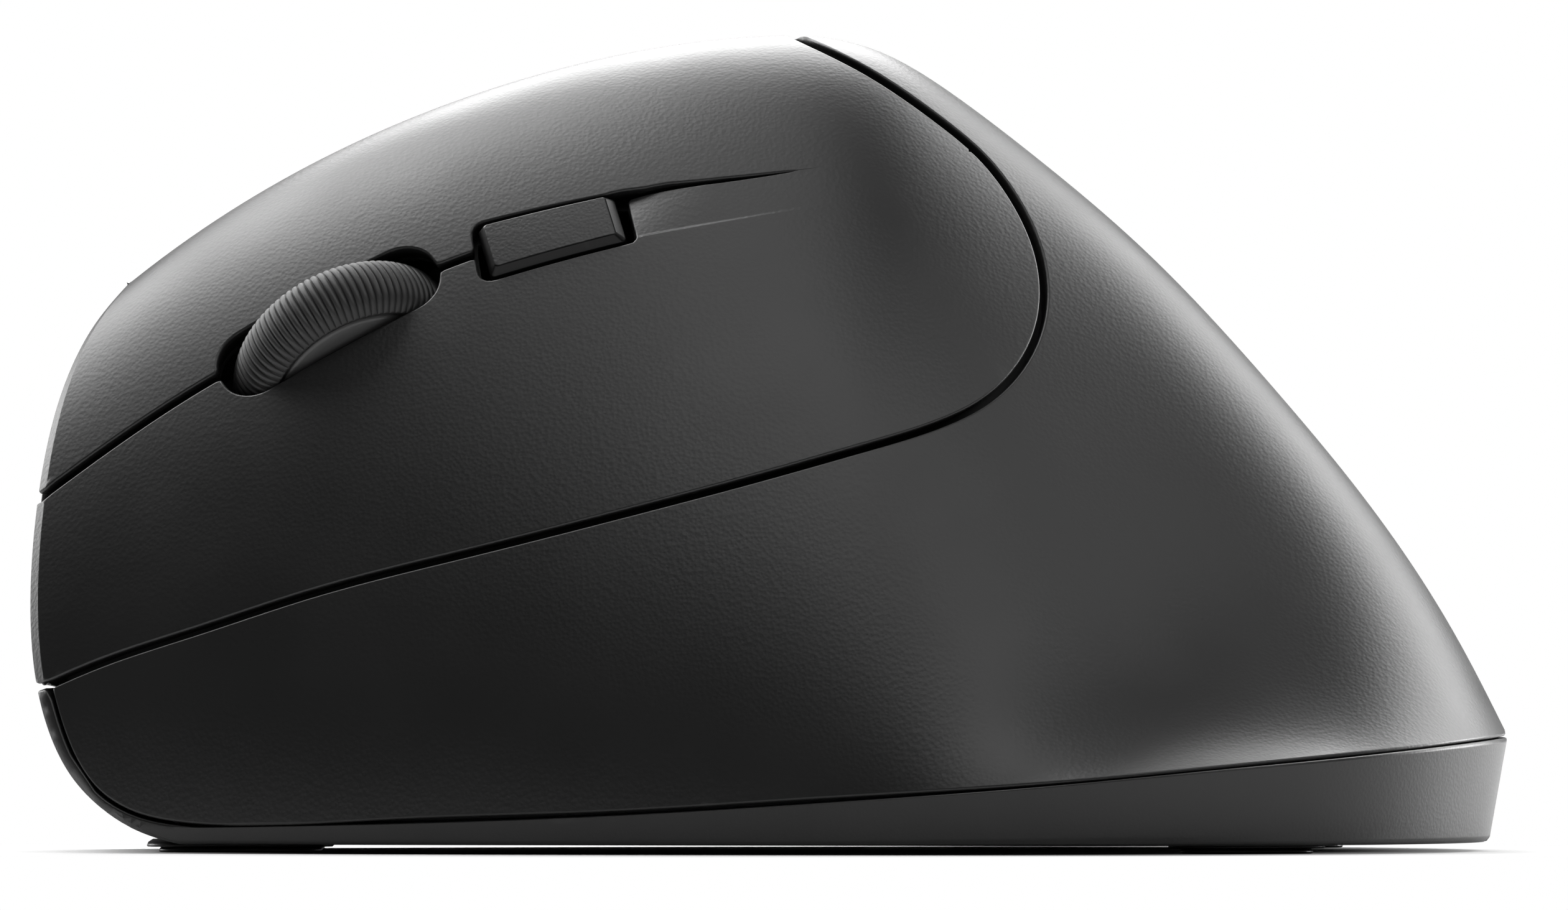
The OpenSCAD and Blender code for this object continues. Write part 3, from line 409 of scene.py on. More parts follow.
def inside(points, loops):
    """Even-odd test of points against closed loops."""
    result = np.zeros(len(points), bool)
    for loop in loops:
        a, b = loop, np.roll(loop, -1, axis=0)
        for k in range(0, len(points), 4000):
            p = points[k:k + 4000, None]
            straddle = (a[None, :, 1] > p[..., 1]) != (b[None, :, 1] > p[..., 1])
            rise = np.where(b[:, 1] == a[:, 1], 1, b[:, 1] - a[:, 1])
            x = a[None, :, 0] + (p[..., 1] - a[None, :, 1]) / rise * (b[:, 0] - a[:, 0])
            result[k:k + 4000] ^= (np.sum(straddle & (p[..., 0] < x), axis=1) % 2).astype(bool)
    return result


def distance(points, others):
    """Distance of each point to the nearest of the others."""
    result = np.empty(len(points))
    for k in range(0, len(points), 2000):
        gap = points[k:k + 2000, None] - others[None]
        result[k:k + 2000] = np.sqrt(np.min(np.sum(gap * gap, axis=2), axis=1))
    return result


def closed_loop(pieces, soften=0.25, fine=0.12):
    """One loop from pieces (polyline, edge weight): even fine points, corners softened."""
    points = np.concatenate([with_weight(line, weight) for line, weight in pieces])
    points = np.concatenate([points, points[:1]])
    run = run_along(points[:, :2])
    keep = np.concatenate([[True], np.diff(run) > 1e-6])
    out = resampled(points[keep], run[keep], np.arange(0, run[-1], fine))
    reach = int(math.ceil(3 * soften / fine))
    kernel = np.exp(-0.5 * (np.arange(-reach, reach + 1) * fine / soften)**2)
    kernel /= kernel.sum()
    padded = np.concatenate([out[-reach:], out, out[:reach]])
    return np.stack([np.convolve(column, kernel, "valid") for column in padded.T], 1)


def with_weight(line, weight=1.0):
    """Chart line with its edge weight as a third column: 1 for a rounded edge, 0 for a plain cut."""
    return np.concatenate([line, np.full((len(line), 1), weight)], 1)


def even_loop(surface, loop, step):
    """Loop resampled to even steps along the surface."""
    points = surface(loop[:, :2])
    run = run_along(np.concatenate([points, points[:1]]))
    count = max(12, int(round(run[-1] / step)))
    return resampled(np.concatenate([loop, loop[:1]]), run, np.arange(count) * run[-1] / count)


def signed_area(loop):
    x, y = loop[:, 0], loop[:, 1]
    return 0.5 * np.sum(x * np.roll(y, -1) - y * np.roll(x, -1))


# Edges of the moulded pieces, and the steps over which their normals are taken
EDGE_ROUND = 0.22
CUT_ROUND = 0.004
FILLET_STEPS = (30, 60, 90)
RIM_STEP = 0.1
CALM_STEP = 0.4


def mesh_object(name, points, faces, point_normals=None):
    """Mesh object from millimetre points, smooth shaded, with its own vertex normals when they are given."""
    mesh = bpy.data.meshes.new(name)
    mesh.from_pydata((np.asarray(points) * MM).tolist(), [], [list(map(int, f)) for f in faces])
    mesh.polygons.foreach_set("use_smooth", [True] * len(mesh.polygons))
    if point_normals is not None:
        mesh.normals_split_custom_set_from_vertices(np.asarray(point_normals).tolist())
    mesh.update()
    obj = bpy.data.objects.new(name, mesh)
    bpy.context.scene.collection.objects.link(obj)
    return obj


def rounded_rim(surface, loop, edge):
    """Chart loop set in by the edge radius, and its wall: points, normals, inward ways and radii."""
    q, weight = loop[:, :2], loop[:, 2:]
    p, n = surface(q), normals_of(surface, q, RIM_STEP)
    inward = np.cross(n, np.roll(p, -1, axis=0) - np.roll(p, 1, axis=0))
    inward /= np.linalg.norm(inward, axis=1, keepdims=True)
    radius = CUT_ROUND + (edge - CUT_ROUND) * weight
    shift = np.einsum("nij,nj->ni", np.linalg.pinv(slopes_of(surface, q, RIM_STEP)), inward * radius)
    return q + shift, (p, n, inward, radius)


def filled(loops, grid, rows):
    """Triangles inside loops: their chart points, the triangles, and where each loop point went."""
    whole = np.concatenate(loops)
    low, high = whole.min(0), whole.max(0)
    along, round_ = np.arange(low[0], high[0], grid), np.arange(low[1], high[1], grid * 0.87)
    gs, gg = np.meshgrid(along, round_, indexing="ij")
    gs[:, 1::2] += grid / 2
    fill = np.stack([gs.ravel(), gg.ravel()], 1)
    extra = np.concatenate([np.empty((0, 2)), *rows])
    extra = extra[inside(extra, loops)]
    extra = extra[distance(extra, whole) > 0.3]
    fill = fill[inside(fill, loops)]
    fill = fill[distance(fill, whole) > grid * 0.5]
    if len(extra):
        fill = fill[distance(fill, extra) > grid * 0.4]
    points = np.concatenate([whole, extra, fill])
    edges, start = [], 0
    for loop in loops:
        count = len(loop)
        edges += [(start + k, start + (k + 1) % count) for k in range(count)]
        start += count
    made = geometry.delaunay_2d_cdt([Vector(p) for p in points.tolist()], edges, [], 0, 1e-6)
    flat = np.array([list(p) for p in made[0]])
    place = np.full(len(points), -1)
    for k, origins in enumerate(made[3]):
        for origin in origins:
            place[origin] = k
    triangles = np.array([list(f) for f in made[2]])
    triangles = triangles[inside(flat[triangles].mean(axis=1), loops)]
    a, b, c = (flat[triangles[:, k]] for k in range(3))
    turned = np.cross(b - a, c - a) < 0
    triangles[turned] = triangles[turned][:, ::-1]
    return flat, triangles, place


def strip(first, second):
    """Quads between two rings of equal count."""
    count = len(first)
    return [(first[k], second[k], second[(k + 1) % count], first[(k + 1) % count]) for k in range(count)]


def shell_piece(name, surface, outline, holes=(), thick=SHELL_WALL, edge=EDGE_ROUND, step=0.45, grid=1.1,
                rows=()):
    """Closed moulded piece over a region of a charted surface, with rounded edges."""
    loops, walls = [], []
    for loop, turn in [(outline, 1)] + [(hole, -1) for hole in holes]:
        loop = even_loop(surface, loop, step)
        if signed_area(loop) * turn < 0:
            loop = loop[::-1]
        inner, wall = rounded_rim(surface, loop, edge)
        loops.append(inner)
        walls.append(wall)
    flat, triangles, place = filled(loops, grid, rows)
    top, calm = surface(flat), normals_of(surface, flat, CALM_STEP)
    depth = thick(top)[:, None] if callable(thick) else thick
    points, normals = [top, top - depth * calm], [normals_of(surface, flat), -calm]
    count = len(flat)
    faces = [*triangles, *(triangles[:, ::-1] + count)]
    total, start = 2 * count, 0
    for p, n, inward, radius in walls:
        size = len(p)
        rim = place[start:start + size]
        start += size
        previous = rim
        for angle in np.radians(FILLET_STEPS):
            points.append(p + inward * radius * (1 - np.sin(angle)) - n * radius * (1 - np.cos(angle)))
            normals.append(n * np.cos(angle) - inward * np.sin(angle))
            ring = np.arange(total, total + size)
            faces += strip(previous, ring)
            total += size
            previous = ring
        faces += strip(previous, rim + count)
    return mesh_object(name, np.concatenate(points), faces, np.concatenate(normals))


# Parting lines in side view
cover_seam = path([(-60.2, 13.7), (-55.8, 15.6), (-47.8, 18.3), (-38, 21.5), (-24.9, 24.9), (-11.9, 28.2),
                   (1.2, 31.7), (7.7, 33.55), (14.2, 35.6), (18.1, 37.6), (20.8, 40.3), (22.4, 43.6),
                   (22.8, 46.6), (22.3, 50), (20.7, 53.7), (17.5, 58), (14.2, 60.8), (7.7, 65.2), (3, 67.6),
                   (-3, 70.6)], 1200)
split = path([(-75, 18.5), (-60.2, 29.8), (-47.5, 38.55), (-36.8, 44.3), (-26, 49.1), (-22, 50.6),
              (-17, 52.9), (-12.7, 54.6), (-5.9, 55.55), (2, 56.6), (14, 58), (26, 59)], 1200)
base_seam = path([(-59.7, 13.4), (-58.2, 8.8), (-55.7, 5), (-52.5, 3.1), (-48.6, 2.3), (-32, 2.55),
                  (-14, 3.25), (1.2, 4.2), (19.9, 5.5), (33.2, 6.75), (44.9, 7.85), (55.3, 8.8),
                  (61.4, 9.4)], 1200)
SLIT_END = 2.0
SCOOP_START = -12.7


def split_room(x, upper):
    """Gap between the split's middle line and one button: even up to the scoop, then closing."""
    if upper:
        return np.interp(x, [-13.2, -10.5, -8.5, -3.7, SLIT_END], [SEAM_GAP / 2, 0.1, 0.24, 0.22, 0])
    return np.interp(x, [SCOOP_START - 0.5, SCOOP_START + 1, 0, SLIT_END], [SEAM_GAP / 2, 0.05, 0.03, 0])


def below_ridge(line, room=0.03):
    return line[line[:, 1] < ridge_z(line[:, 0]) - room]


def plan_to_chart(x, y):
    """Plan points near the ridge brought onto the chart."""
    v = bisect(lambda v: skin(x, v)[..., 1] - y, np.full_like(x, 0.6), np.full_like(x, 1.35))
    return charted(x - edge_x(v), v)


def ridge_run(gap):
    """Thumb-side parting line from over the ridge down to the nose, on the chart."""
    x = np.linspace(9, -60, 900)
    line = plan_to_chart(x, seam_y(x) + gap)
    return line[behind_edge(line) > chamfer(girth_of(line[:, 1])) + 0.05]


def stretched(line, by):
    """Polyline with its last stretch carried on by a distance."""
    way = line[-1] - line[-4]
    return np.concatenate([line, [line[-1] + way / np.linalg.norm(way) * by]])


def skin_frame(x, z, slope):
    """Frame on the finger side: middle point, along at a side-view slope in degrees, across and outward."""
    q = to_chart(np.array([[x, z]]), "finger")
    outward = normals_of(chart, q)[0]
    run, rise = math.cos(math.radians(slope)), math.sin(math.radians(slope))
    along = np.array([run, -(outward[0] * run + outward[2] * rise) / outward[1], rise])
    along /= np.linalg.norm(along)
    return chart(q)[0], along, np.cross(outward, along), outward


WHEEL_FRAME = skin_frame(-36.8, 44.3, 28.6)
CAP_FRAME = skin_frame(-18.1, 50.95, 13.5)


def framed(flat, place):
    """Points of a frame's tangent plane brought onto the chart along the frame's outward line."""
    middle, along, across, _ = place
    start = to_chart(np.array([[middle[0], middle[2]]]), "finger")
    q = np.repeat(start, len(flat), 0) + flat * np.array([1.0, 0.9])
    axes = np.stack([along, across])
    for _ in range(12):
        miss = (chart(q) - middle) @ axes.T - flat
        q = q - np.linalg.solve(axes @ slopes_of(chart, q), miss[..., None])[..., 0]
    return q


def rounded_box(length, width, corner, step=0.12):
    """Outline of a rectangle with rounded corners, anticlockwise from the middle of its right side."""
    points = []
    for k, (sx, sy) in enumerate(((1, 1), (-1, 1), (-1, -1), (1, -1))):
        turn = np.radians(np.linspace(90 * k, 90 * k + 90, 14))
        points.append(np.stack([sx * (length / 2 - corner) + corner * np.cos(turn),
                                sy * (width / 2 - corner) + corner * np.sin(turn)], 1))
    loop = np.concatenate([[[length / 2, 0.0]]] + points + [[[length / 2, 0.0]]])
    run = run_along(loop)
    return resampled(loop, run, np.linspace(0, run[-1], int(run[-1] / step)))


def rounded_quad(corners, radii, per_side=30, per_corner=8):
    """Outline of a four-sided form with rounded corners, anticlockwise, with a set number of points."""
    corners = np.asarray(corners, float)
    way = np.roll(corners, -1, 0) - corners
    way /= np.linalg.norm(way, axis=1, keepdims=True)
    out = np.stack([way[:, 1], -way[:, 0]], 1)
    arcs = []
    for k in range(4):
        before, after = out[k - 1], out[k]
        centre = corners[k] - radii[k] * (before + after) / (1 + before @ after)
        start = math.atan2(before[1], before[0])
        sweep = (math.atan2(after[1], after[0]) - start) % (2 * math.pi)
        turn = start + sweep * np.linspace(0, 1, per_corner)
        arcs.append(centre + radii[k] * np.stack([np.cos(turn), np.sin(turn)], 1))
    points = []
    for k in range(4):
        stop = arcs[(k + 1) % 4][0]
        line = arcs[k][-1] + (stop - arcs[k][-1]) * np.linspace(0, 1, per_side)[1:-1, None]
        points += [arcs[k], line]
    return np.concatenate(points)


def weave_round(line, loop, upper):
    """Line led round a closed outline, on its upper or its lower side."""
    count = len(loop)
    ring = np.concatenate([loop, loop, loop[:1]])
    hits = crossings(line, ring[:count + 1])
    (start, first), (end, last) = hits[0], hits[-1]
    ways = [part_of(ring, first, last if last > first else last + count),
            part_of(ring, first if first > last else first + count, last)]
    ways.sort(key=lambda points: points[:, 1].mean())
    detour = ways[1] if upper else ways[0]
    return np.concatenate([part_of(line, 0, start), detour[1:-1], part_of(line, end, len(line) - 1)])


def half_outline(outline, upper, over):
    """Upper or lower half of an outline, left end to right, reaching past the middle line by over."""
    sign = 1 if upper else -1
    points = outline[:-1]
    angle = np.unwrap(np.arctan2(points[:, 1], points[:, 0]))
    order = np.argsort(np.mod(angle * sign + math.pi / 2, 2 * math.pi))
    points = points[order]
    keep = points[:, 1] * sign > -over
    return points[keep][::-1]


# Sizes of the openings
SLOT = (20.2, 7.0, 3.1)
CAP = ((5.8, 3.05), (-5.85, 3.1), (-5.65, -2.4), (6.0, -1.95))
POCKET = ((6.8, 3.45), (-6.3, 3.75), (-6.7, -2.85), (6.8, -2.3))
POCKET_CORNERS = (0.3, 1.0, 1.1, 0.25)
THUMB_KEY = (17.0, 6.4, 1.6)
THUMB_KEY_GAP = 0.35
THUMB_KEYS = {"forward": (-11.5, 42.0), "back": (7.1, 42.0)}

cover_edge = below_ridge(shifted(cover_seam, SEAM_GAP / 2))
cover_edge = stretched(seam_from_nose(cover_edge, "finger", SEAM_GAP / 2), 3)
half_gap = THUMB_SEAM_GAP / 2


def split_line(side):
    """One edge of the split with the wheel slot and the cap pocket worked into it."""
    upper = side > 0
    line = shifted(split, side * split_room(split[:, 0], upper)[:, None])
    line = seam_from_nose(line, "finger", SEAM_GAP / 2)
    line = weave(line, framed(half_outline(rounded_box(*SLOT), upper, 1.2), WHEEL_FRAME))
    return weave_round(line, framed(rounded_quad(POCKET, POCKET_CORNERS), CAP_FRAME), upper)


def cut_at_end(line):
    """Split line in two: the open stretch, and the closed one behind the end of the slit."""
    x = chart(line)[:, 0]
    k = int(np.argmax(x > SLIT_END))
    return line[:k + 1], line[k:]


def until(line, other):
    """Places along both lines where the first one first crosses the other."""
    return crossings(line, other)[0]


# Upper cover, over the index finger button; attached to no body
top_run = ridge_run(-half_gap)
upper_line = split_line(1)
upper_end, on_edge = until(upper_line, cover_edge)
upper_open, upper_shut = cut_at_end(part_of(upper_line, 0, upper_end))
edge_top, run_top = until(cover_edge, top_run)
ridge_height = float(by_girth(edge_table[:, 2], 1.0))
split_height = float(chart(upper_line[:1])[0, 2])
upper_loop = closed_loop([(upper_open, 1), (upper_shut, 0), (part_of(cover_edge, on_edge, edge_top), 1),
                          (part_of(top_run, run_top, len(top_run) - 1), 1),
                          (down_nose(ridge_height, split_height, "finger", half_gap), 1)])

# Lower cover, over the middle finger button, with the scoop behind the cap; attached to no body
lower_line = split_line(-1)
lower_end, on_edge = until(lower_line, cover_edge)
lower_open, lower_shut = cut_at_end(part_of(lower_line, 0, lower_end))
lower_height = float(chart(lower_line[:1])[0, 2])
cover_low_height = float(chart(cover_edge[:1])[0, 2])
lower_loop = closed_loop([(part_of(cover_edge, 0, on_edge), 1), (lower_shut[::-1], 0), (lower_open[::-1], 1),
                          (down_nose(lower_height, cover_low_height, "finger", half_gap), 1)])
SCOOP_DEPTH, SCOOP_STEP, SCOOP_WALL = 1.0, 0.18, 0.22
SCOOP_DEEP_END, SCOOP_END = -2.0, 4.5
scoop_edge = Curve([(-14, 50.45), (-11.2, 51.0), (-4.7, 52.15), (4.5, 53.7)])


def scooped(q):
    """Outer surface with the scoop sunk in: a low step at its lower edge, a floor that falls to the split."""
    p = chart(q)
    x, z = p[:, 0], p[:, 2]
    near = (x > -15) & (x < SCOOP_END) & (z > 49.5) & (z < 58)
    if not near.any():
        return p
    low = scoop_edge(x)
    share = np.clip((z - low) / (np.interp(x, split[:, 0], split[:, 1]) - low), 0, 1)
    step = SCOOP_STEP * np.clip((SCOOP_END - x) / (SCOOP_END - SCOOP_START), 0, 1.15)
    deep = SCOOP_DEPTH * np.clip((SCOOP_DEEP_END - x) / (SCOOP_DEEP_END - SCOOP_START), 0, 1.15)**2
    rise = np.clip((z - low) / SCOOP_WALL, 0, 1)
    depth = rise * rise * (3 - 2 * rise) * step + share * np.maximum(deep - step, 0)
    n = normals_of(chart, q, 0.15)
    return p - n * np.where(near, depth, 0)[:, None]


def nose_rows(step=0.55):
    """Close rows of points along both edges of the nose chamfer, so that they stay crisp."""
    v = np.concatenate([np.arange(-1, 0, step / BAND_SCALE), np.arange(0, 2, step / GIRTH_SCALE),
                        np.arange(2, 3, step / BAND_SCALE)])
    c = chamfer(v)
    return [charted(sign * c + by, v) for sign in (1, -1) for by in (-0.05, 0.05)]


def scoop_rows():
    x = np.linspace(SCOOP_START - 1, SCOOP_END, 46)
    return [to_chart(np.stack([x, scoop_edge(x) + by], 1), "finger")
            for by in (-0.05, 0.03, SCOOP_WALL / 2, SCOOP_WALL - 0.03, SCOOP_WALL + 0.06)]


upper_cover = shell_piece("upper_cover", chart, upper_loop, rows=nose_rows())
lower_cover = shell_piece("lower_cover", scooped, lower_loop, rows=nose_rows() + scoop_rows())

# Main shell: thumb side, heel and the strip under the covers
shell_cover_edge = to_chart(below_ridge(shifted(cover_seam, -SEAM_GAP / 2)), "finger")
shell_cover_edge = stretched(shell_cover_edge[behind_edge(shell_cover_edge) > 0.2], 6)
base_up = below_ridge(shifted(base_seam, BASE_GAP), 0.02)
base_up = base_up[base_up[:, 1] > edge_z(base_up[:, 0]) + 0.02]
finger_foot, thumb_foot = to_chart(base_up, "finger"), to_chart(base_up, "thumb")
finger_foot = stretched(finger_foot[::-1], 2)[::-1]
shell_run = ridge_run(half_gap)
strip_end, foot_start = until(shell_cover_edge, finger_foot)
shell_top, shell_run_top = until(shell_cover_edge, shell_run)
shell_run_low = float(chart(shell_run[-1:])[0, 2])
front_foot_z = FRONT_WALL_TOP + BASE_GAP
shell_loop = closed_loop([
    (part_of(finger_foot, foot_start, len(finger_foot) - 1), 1), (thumb_foot[::-1], 1),
    (across_nose(front_foot_z, "thumb", half_gap)[::-1], 1),
    (down_nose(front_foot_z, shell_run_low, "thumb", half_gap), 1),
    (part_of(shell_run, len(shell_run) - 1, shell_run_top), 1),
    (part_of(shell_cover_edge, shell_top, strip_end), 1)])


def key_outline(key, grown):
    """Outline of a thumb key on the chart, grown by a distance."""
    x, z = THUMB_KEYS[key]
    flat = rounded_box(THUMB_KEY[0] + 2 * grown, THUMB_KEY[1] + 2 * grown, THUMB_KEY[2] + grown)
    return with_weight(to_chart(flat[:-1] + np.array([x, z]), "thumb"))


def shell_depth(p):
    """Wall of the shell, thinner where it runs out at the base."""
    foot = np.interp(p[:, 0], base_seam[:, 0], base_seam[:, 1])
    return np.clip(SHELL_FOOT_WALL + 0.5 * (p[:, 2] - foot), SHELL_FOOT_WALL, SHELL_WALL)


key_holes = [key_outline(key, THUMB_KEY_GAP) for key in THUMB_KEYS]
shell = shell_piece("main_body_shell", chart, shell_loop, key_holes, thick=shell_depth, rows=nose_rows())


def base_half(side):
    """Half of the base band: drafted wall, front wall up the nose, rounded foot."""
    turn = (lambda v: v) if side == "finger" else (lambda v: 2 - v)
    climb = base_seam[(base_seam[:, 0] < -47) & (base_seam[:, 1] > edge_z(base_seam[:, 0]) + 0.03)]
    climb = to_chart(climb, side)
    run = across_nose(FRONT_WALL_TOP, side, 0)
    climb = climb[behind_edge(climb) > behind_edge(run[-1:]) + 0.3]
    from_x = station(climb[-1, 0]) + 0.5
    ring = station(np.linspace(from_x, float(unroll_run[-1]), 500))
    end = float(unroll_x[-1])
    level = np.linspace(0, -1, 60)
    low_s = np.linspace(float(chamfer(turn(-1.0))), -float(half_front(turn(-1.0))), 60)
    wall_top = turn(edge_girth(FRONT_WALL_TOP, side))
    rise = np.concatenate([np.linspace(-1, 0, 60), np.linspace(0, wall_top, 60)[1:]])

    def at_girth(x, v):
        return charted(x - edge_x(turn(v)), turn(v))

    foot_start = float(edge_x(turn(-1.0)) + chamfer(turn(-1.0)))
    foot = station(np.linspace(float(unroll_run[-1]), foot_start, 700))
    loop = closed_loop([(run, 1), (climb, 1), (at_girth(ring, np.full_like(ring, -0.001)), 1),
                        (at_girth(np.full_like(level, end), level), 0),
                        (at_girth(foot, np.full_like(foot, -1.0)), 0),
                        (charted(low_s, turn(-1.0)), 0),
                        (charted(-half_front(turn(rise)), turn(rise)), 0)], soften=0.12)
    return shell_piece(f"base_{side}_side", chart, loop, thick=BASE_WALL, rows=nose_rows())


base_pieces = [base_half(side) for side in ("finger", "thumb")]


def lifted(surface, by, calm=CALM_STEP):
    """The surface moved outwards by a distance."""
    return lambda q: surface(q) + by * normals_of(surface, q, calm)


# Thumb keys: pillows standing a little out of the shell
KEY_PROUD, KEY_DEPTH, KEY_EDGE = 0.8, 2.4, 0.55
keys = {}
for key in THUMB_KEYS:
    keys[key] = shell_piece(f"{key}_key_cap", lifted(chart, KEY_PROUD), key_outline(key, 0), thick=KEY_DEPTH,
                            edge=KEY_EDGE, step=0.35, grid=0.8)

# Sheet under the seams, so that no light crosses the hollow body, with a notch below the nose tip. Its
# near-black colour is painted shade for the inside seen through the seams
LINER_DEPTH, LINER_WALL, LINER_END = 2.15, 0.3, 57.0
LINER_LOW, LINER_HIGH = -0.55, 2.55
NOTCH_LOW, NOTCH_HIGH, NOTCH_REACH = 0.9, 1.12, (1, 7)
LINER_ROOM = 0.75


def liner_side(v):
    """Run of the liner from the nose to the heel at one girth."""
    start = float(edge_x(v) - half_front(v)) + 0.3
    x = np.linspace(start, LINER_END, 400)
    return charted(x - edge_x(v), np.full_like(x, v))


heel_girths = np.linspace(LINER_LOW, LINER_HIGH, 300)
thumb_girths = np.linspace(LINER_HIGH, NOTCH_HIGH, 300)
finger_girths = np.linspace(NOTCH_LOW, LINER_LOW, 300)
notch = np.linspace(*NOTCH_REACH, 40)
liner_runs = [liner_side(LINER_LOW), charted(LINER_END - edge_x(heel_girths), heel_girths),
              liner_side(LINER_HIGH)[::-1], charted(0.5 - half_front(thumb_girths), thumb_girths),
              charted(notch, NOTCH_HIGH), charted(notch[::-1], NOTCH_LOW),
              charted(0.2 - half_front(finger_girths), finger_girths)]
wheel_hole = rounded_box(SLOT[0] + 2 * LINER_ROOM, SLOT[1] + 2 * LINER_ROOM, SLOT[2] + LINER_ROOM)[:-1]
liner_holes = [with_weight(framed(wheel_hole, WHEEL_FRAME), 0),
               with_weight(framed(rounded_quad(POCKET, POCKET_CORNERS), CAP_FRAME), 0)]
liner_holes += [key_outline(key, 0.6) for key in THUMB_KEYS]
liner = shell_piece("seam_shade_sheet", lifted(chart, -LINER_DEPTH, 2 * CALM_STEP),
                    closed_loop([(run, 0) for run in liner_runs]), liner_holes, thick=LINER_WALL, edge=0.01,
                    step=1.2, grid=2.4)


def underside(height):
    """Flat chart of a face that looks down at a height."""
    return lambda q: np.stack([q[:, 0], -q[:, 1], np.full(len(q), height)], 1)


def disc(x, y, diameter, steps=48):
    """Round outline of the underside."""
    turn = np.linspace(0, 2 * math.pi, steps, endpoint=False)
    return with_weight(np.stack([x + diameter / 2 * np.cos(turn), -y + diameter / 2 * np.sin(turn)], 1))


def grown(span, by):
    return span[0] - by, span[1] + by


def slab(x, y, corner):
    """Rounded rectangle of the underside between two stations and two breadths."""
    flat = rounded_box(x[1] - x[0], y[1] - y[0], corner)[:-1]
    return with_weight(flat + np.array([(x[0] + x[1]) / 2, -(y[0] + y[1]) / 2]))


# Underside plate with its openings
DOOR_X, DOOR_Y, DOOR_GAP, DOOR_CORNER = (-3.6, 45.3), (-14.85, 21.55), 0.3, 0.5
SENSOR_AT, SENSOR_HOLE = (-29.4, -0.6), 8.0
POWER_AT, POWER_SLOT, POWER_CORNER = (-26.0, 9.2), (6.8, 3.0), 0.6
CASE_SCREWS = ((-45.5, 2.2), (-9.4, 3.2), (-9.4, -6.2), (52.5, 2.5))
SCREW_WELL = 5.4
PLATE_WALL = 1.9
PEDESTAL_DROP, PEDESTAL_RIM, PEDESTAL_WALL = 0.3, 1.0, 0.4
GLIDE_WALL = 0.45
# Feet: place along and across, turn in degrees, length, width and corner
FEET = {"front": (-43.95, 0.0, 0.0, 13.5, 30.0, 3.0), "rear_near": (39.4, -25.0, 24.0, 11.5, 6.0, 3.0),
        "rear_far": (42.6, 24.4, -27.0, 11.5, 6.0, 3.0)}


def foot_edge(end):
    """Foot of the base band in plan, seen from below, at its last girth on either side."""
    roll = np.linspace(float(edge_x(end) + chamfer(end)), float(unroll_run[-1]), 500)
    g = -BAND_SCALE if end < 0 else 2 * GIRTH_SCALE + BAND_SCALE
    p = chart(np.stack([roll, np.full_like(roll, g)], 1))
    return np.stack([p[:, 0], -p[:, 1]], 1)


plate_loop = closed_loop([(foot_edge(-1.0), 0), (foot_edge(3.0)[::-1], 0)], soften=0.1)
power_spans = [grown((middle, middle), size / 2) for middle, size in zip(POWER_AT, POWER_SLOT)]
plate_holes = [slab(grown(DOOR_X, DOOR_GAP), grown(DOOR_Y, DOOR_GAP), DOOR_CORNER),
               disc(*SENSOR_AT, SENSOR_HOLE), slab(*power_spans, POWER_CORNER)]
plate_holes += [disc(x, y, SCREW_WELL) for x, y in CASE_SCREWS]
plate = shell_piece("base_floor", underside(BASE_CLEAR), plate_loop, plate_holes, thick=PLATE_WALL, edge=0.15,
                    step=0.6, grid=3.0)


def foot_outline(foot, rim):
    """Outline of a foot seen from below, grown by a rim."""
    x, y, turn, length, width, corner = FEET[foot]
    flat = rounded_box(length + 2 * rim, width + 2 * rim, min(corner, width / 2 - 0.01) + rim)[:-1]
    c, s = math.cos(math.radians(turn)), math.sin(math.radians(turn))
    turned = [flat[:, 0] * c - flat[:, 1] * s + x, -(flat[:, 0] * s + flat[:, 1] * c + y)]
    return with_weight(np.stack(turned, 1))


pedestals = []
for foot in FEET:
    wells = [disc(*CASE_SCREWS[0], SCREW_WELL)] if foot == "front" else []
    pedestals.append(shell_piece(f"{foot}_pedestal", underside(BASE_CLEAR - PEDESTAL_DROP),
                                 foot_outline(foot, PEDESTAL_RIM), wells, thick=PEDESTAL_WALL, edge=0.12,
                                 step=0.5, grid=2.5))
glides = []
for foot in FEET:
    glides.append(shell_piece(f"{foot}_glide_pad", underside(0.0), foot_outline(foot, 0.0), thick=GLIDE_WALL,
                              edge=0.18, step=0.4, grid=2.5))


def loft_rings(name, rings, sharp=()):
    """Closed mesh through rings of equal count, low to high, capped at both ends."""
    size, count = len(rings[0]), len(rings)
    faces = []
    for k in range(count - 1):
        low, high = k * size, (k + 1) * size
        faces += [(low + i, low + (i + 1) % size, high + (i + 1) % size, high + i) for i in range(size)]
    faces += [tuple(range(size))[::-1], tuple(range((count - 1) * size, count * size))]
    obj = mesh_object(name, np.concatenate(rings), faces)
    wanted = {frozenset((k * size + i, k * size + (i + 1) % size)) for k in sharp for i in range(size)}
    for edge in obj.data.edges:
        edge.use_edge_sharp = frozenset(edge.vertices) in wanted
    return obj


def round_edges(obj, width, angle):
    """Bevel modifier on the edges sharper than an angle in degrees."""
    bevel = obj.modifiers.new("soft_edges", "BEVEL")
    bevel.width = width * MM
    bevel.segments = 2
    bevel.limit_method = "ANGLE"
    bevel.angle_limit = math.radians(angle)


# Resolution cap: a grained face inside unequal slanted borders. The borders and sides take a darker, duller
# copy of the cap plastic, as painted shade
CAP_PROUD, CAP_SHOULDER, CAP_DEEP = 0.5, -0.25, 1.8
CAP_LEFT, CAP_RIGHT, CAP_LOW, CAP_HIGH = 0.55, 0.75, 0.5, 0.25
CAP_CORNER, FACE_CORNER = 0.45, 0.3


def cap_ring(outline, height):
    return chart(framed(outline, CAP_FRAME)) + CAP_FRAME[3] * height


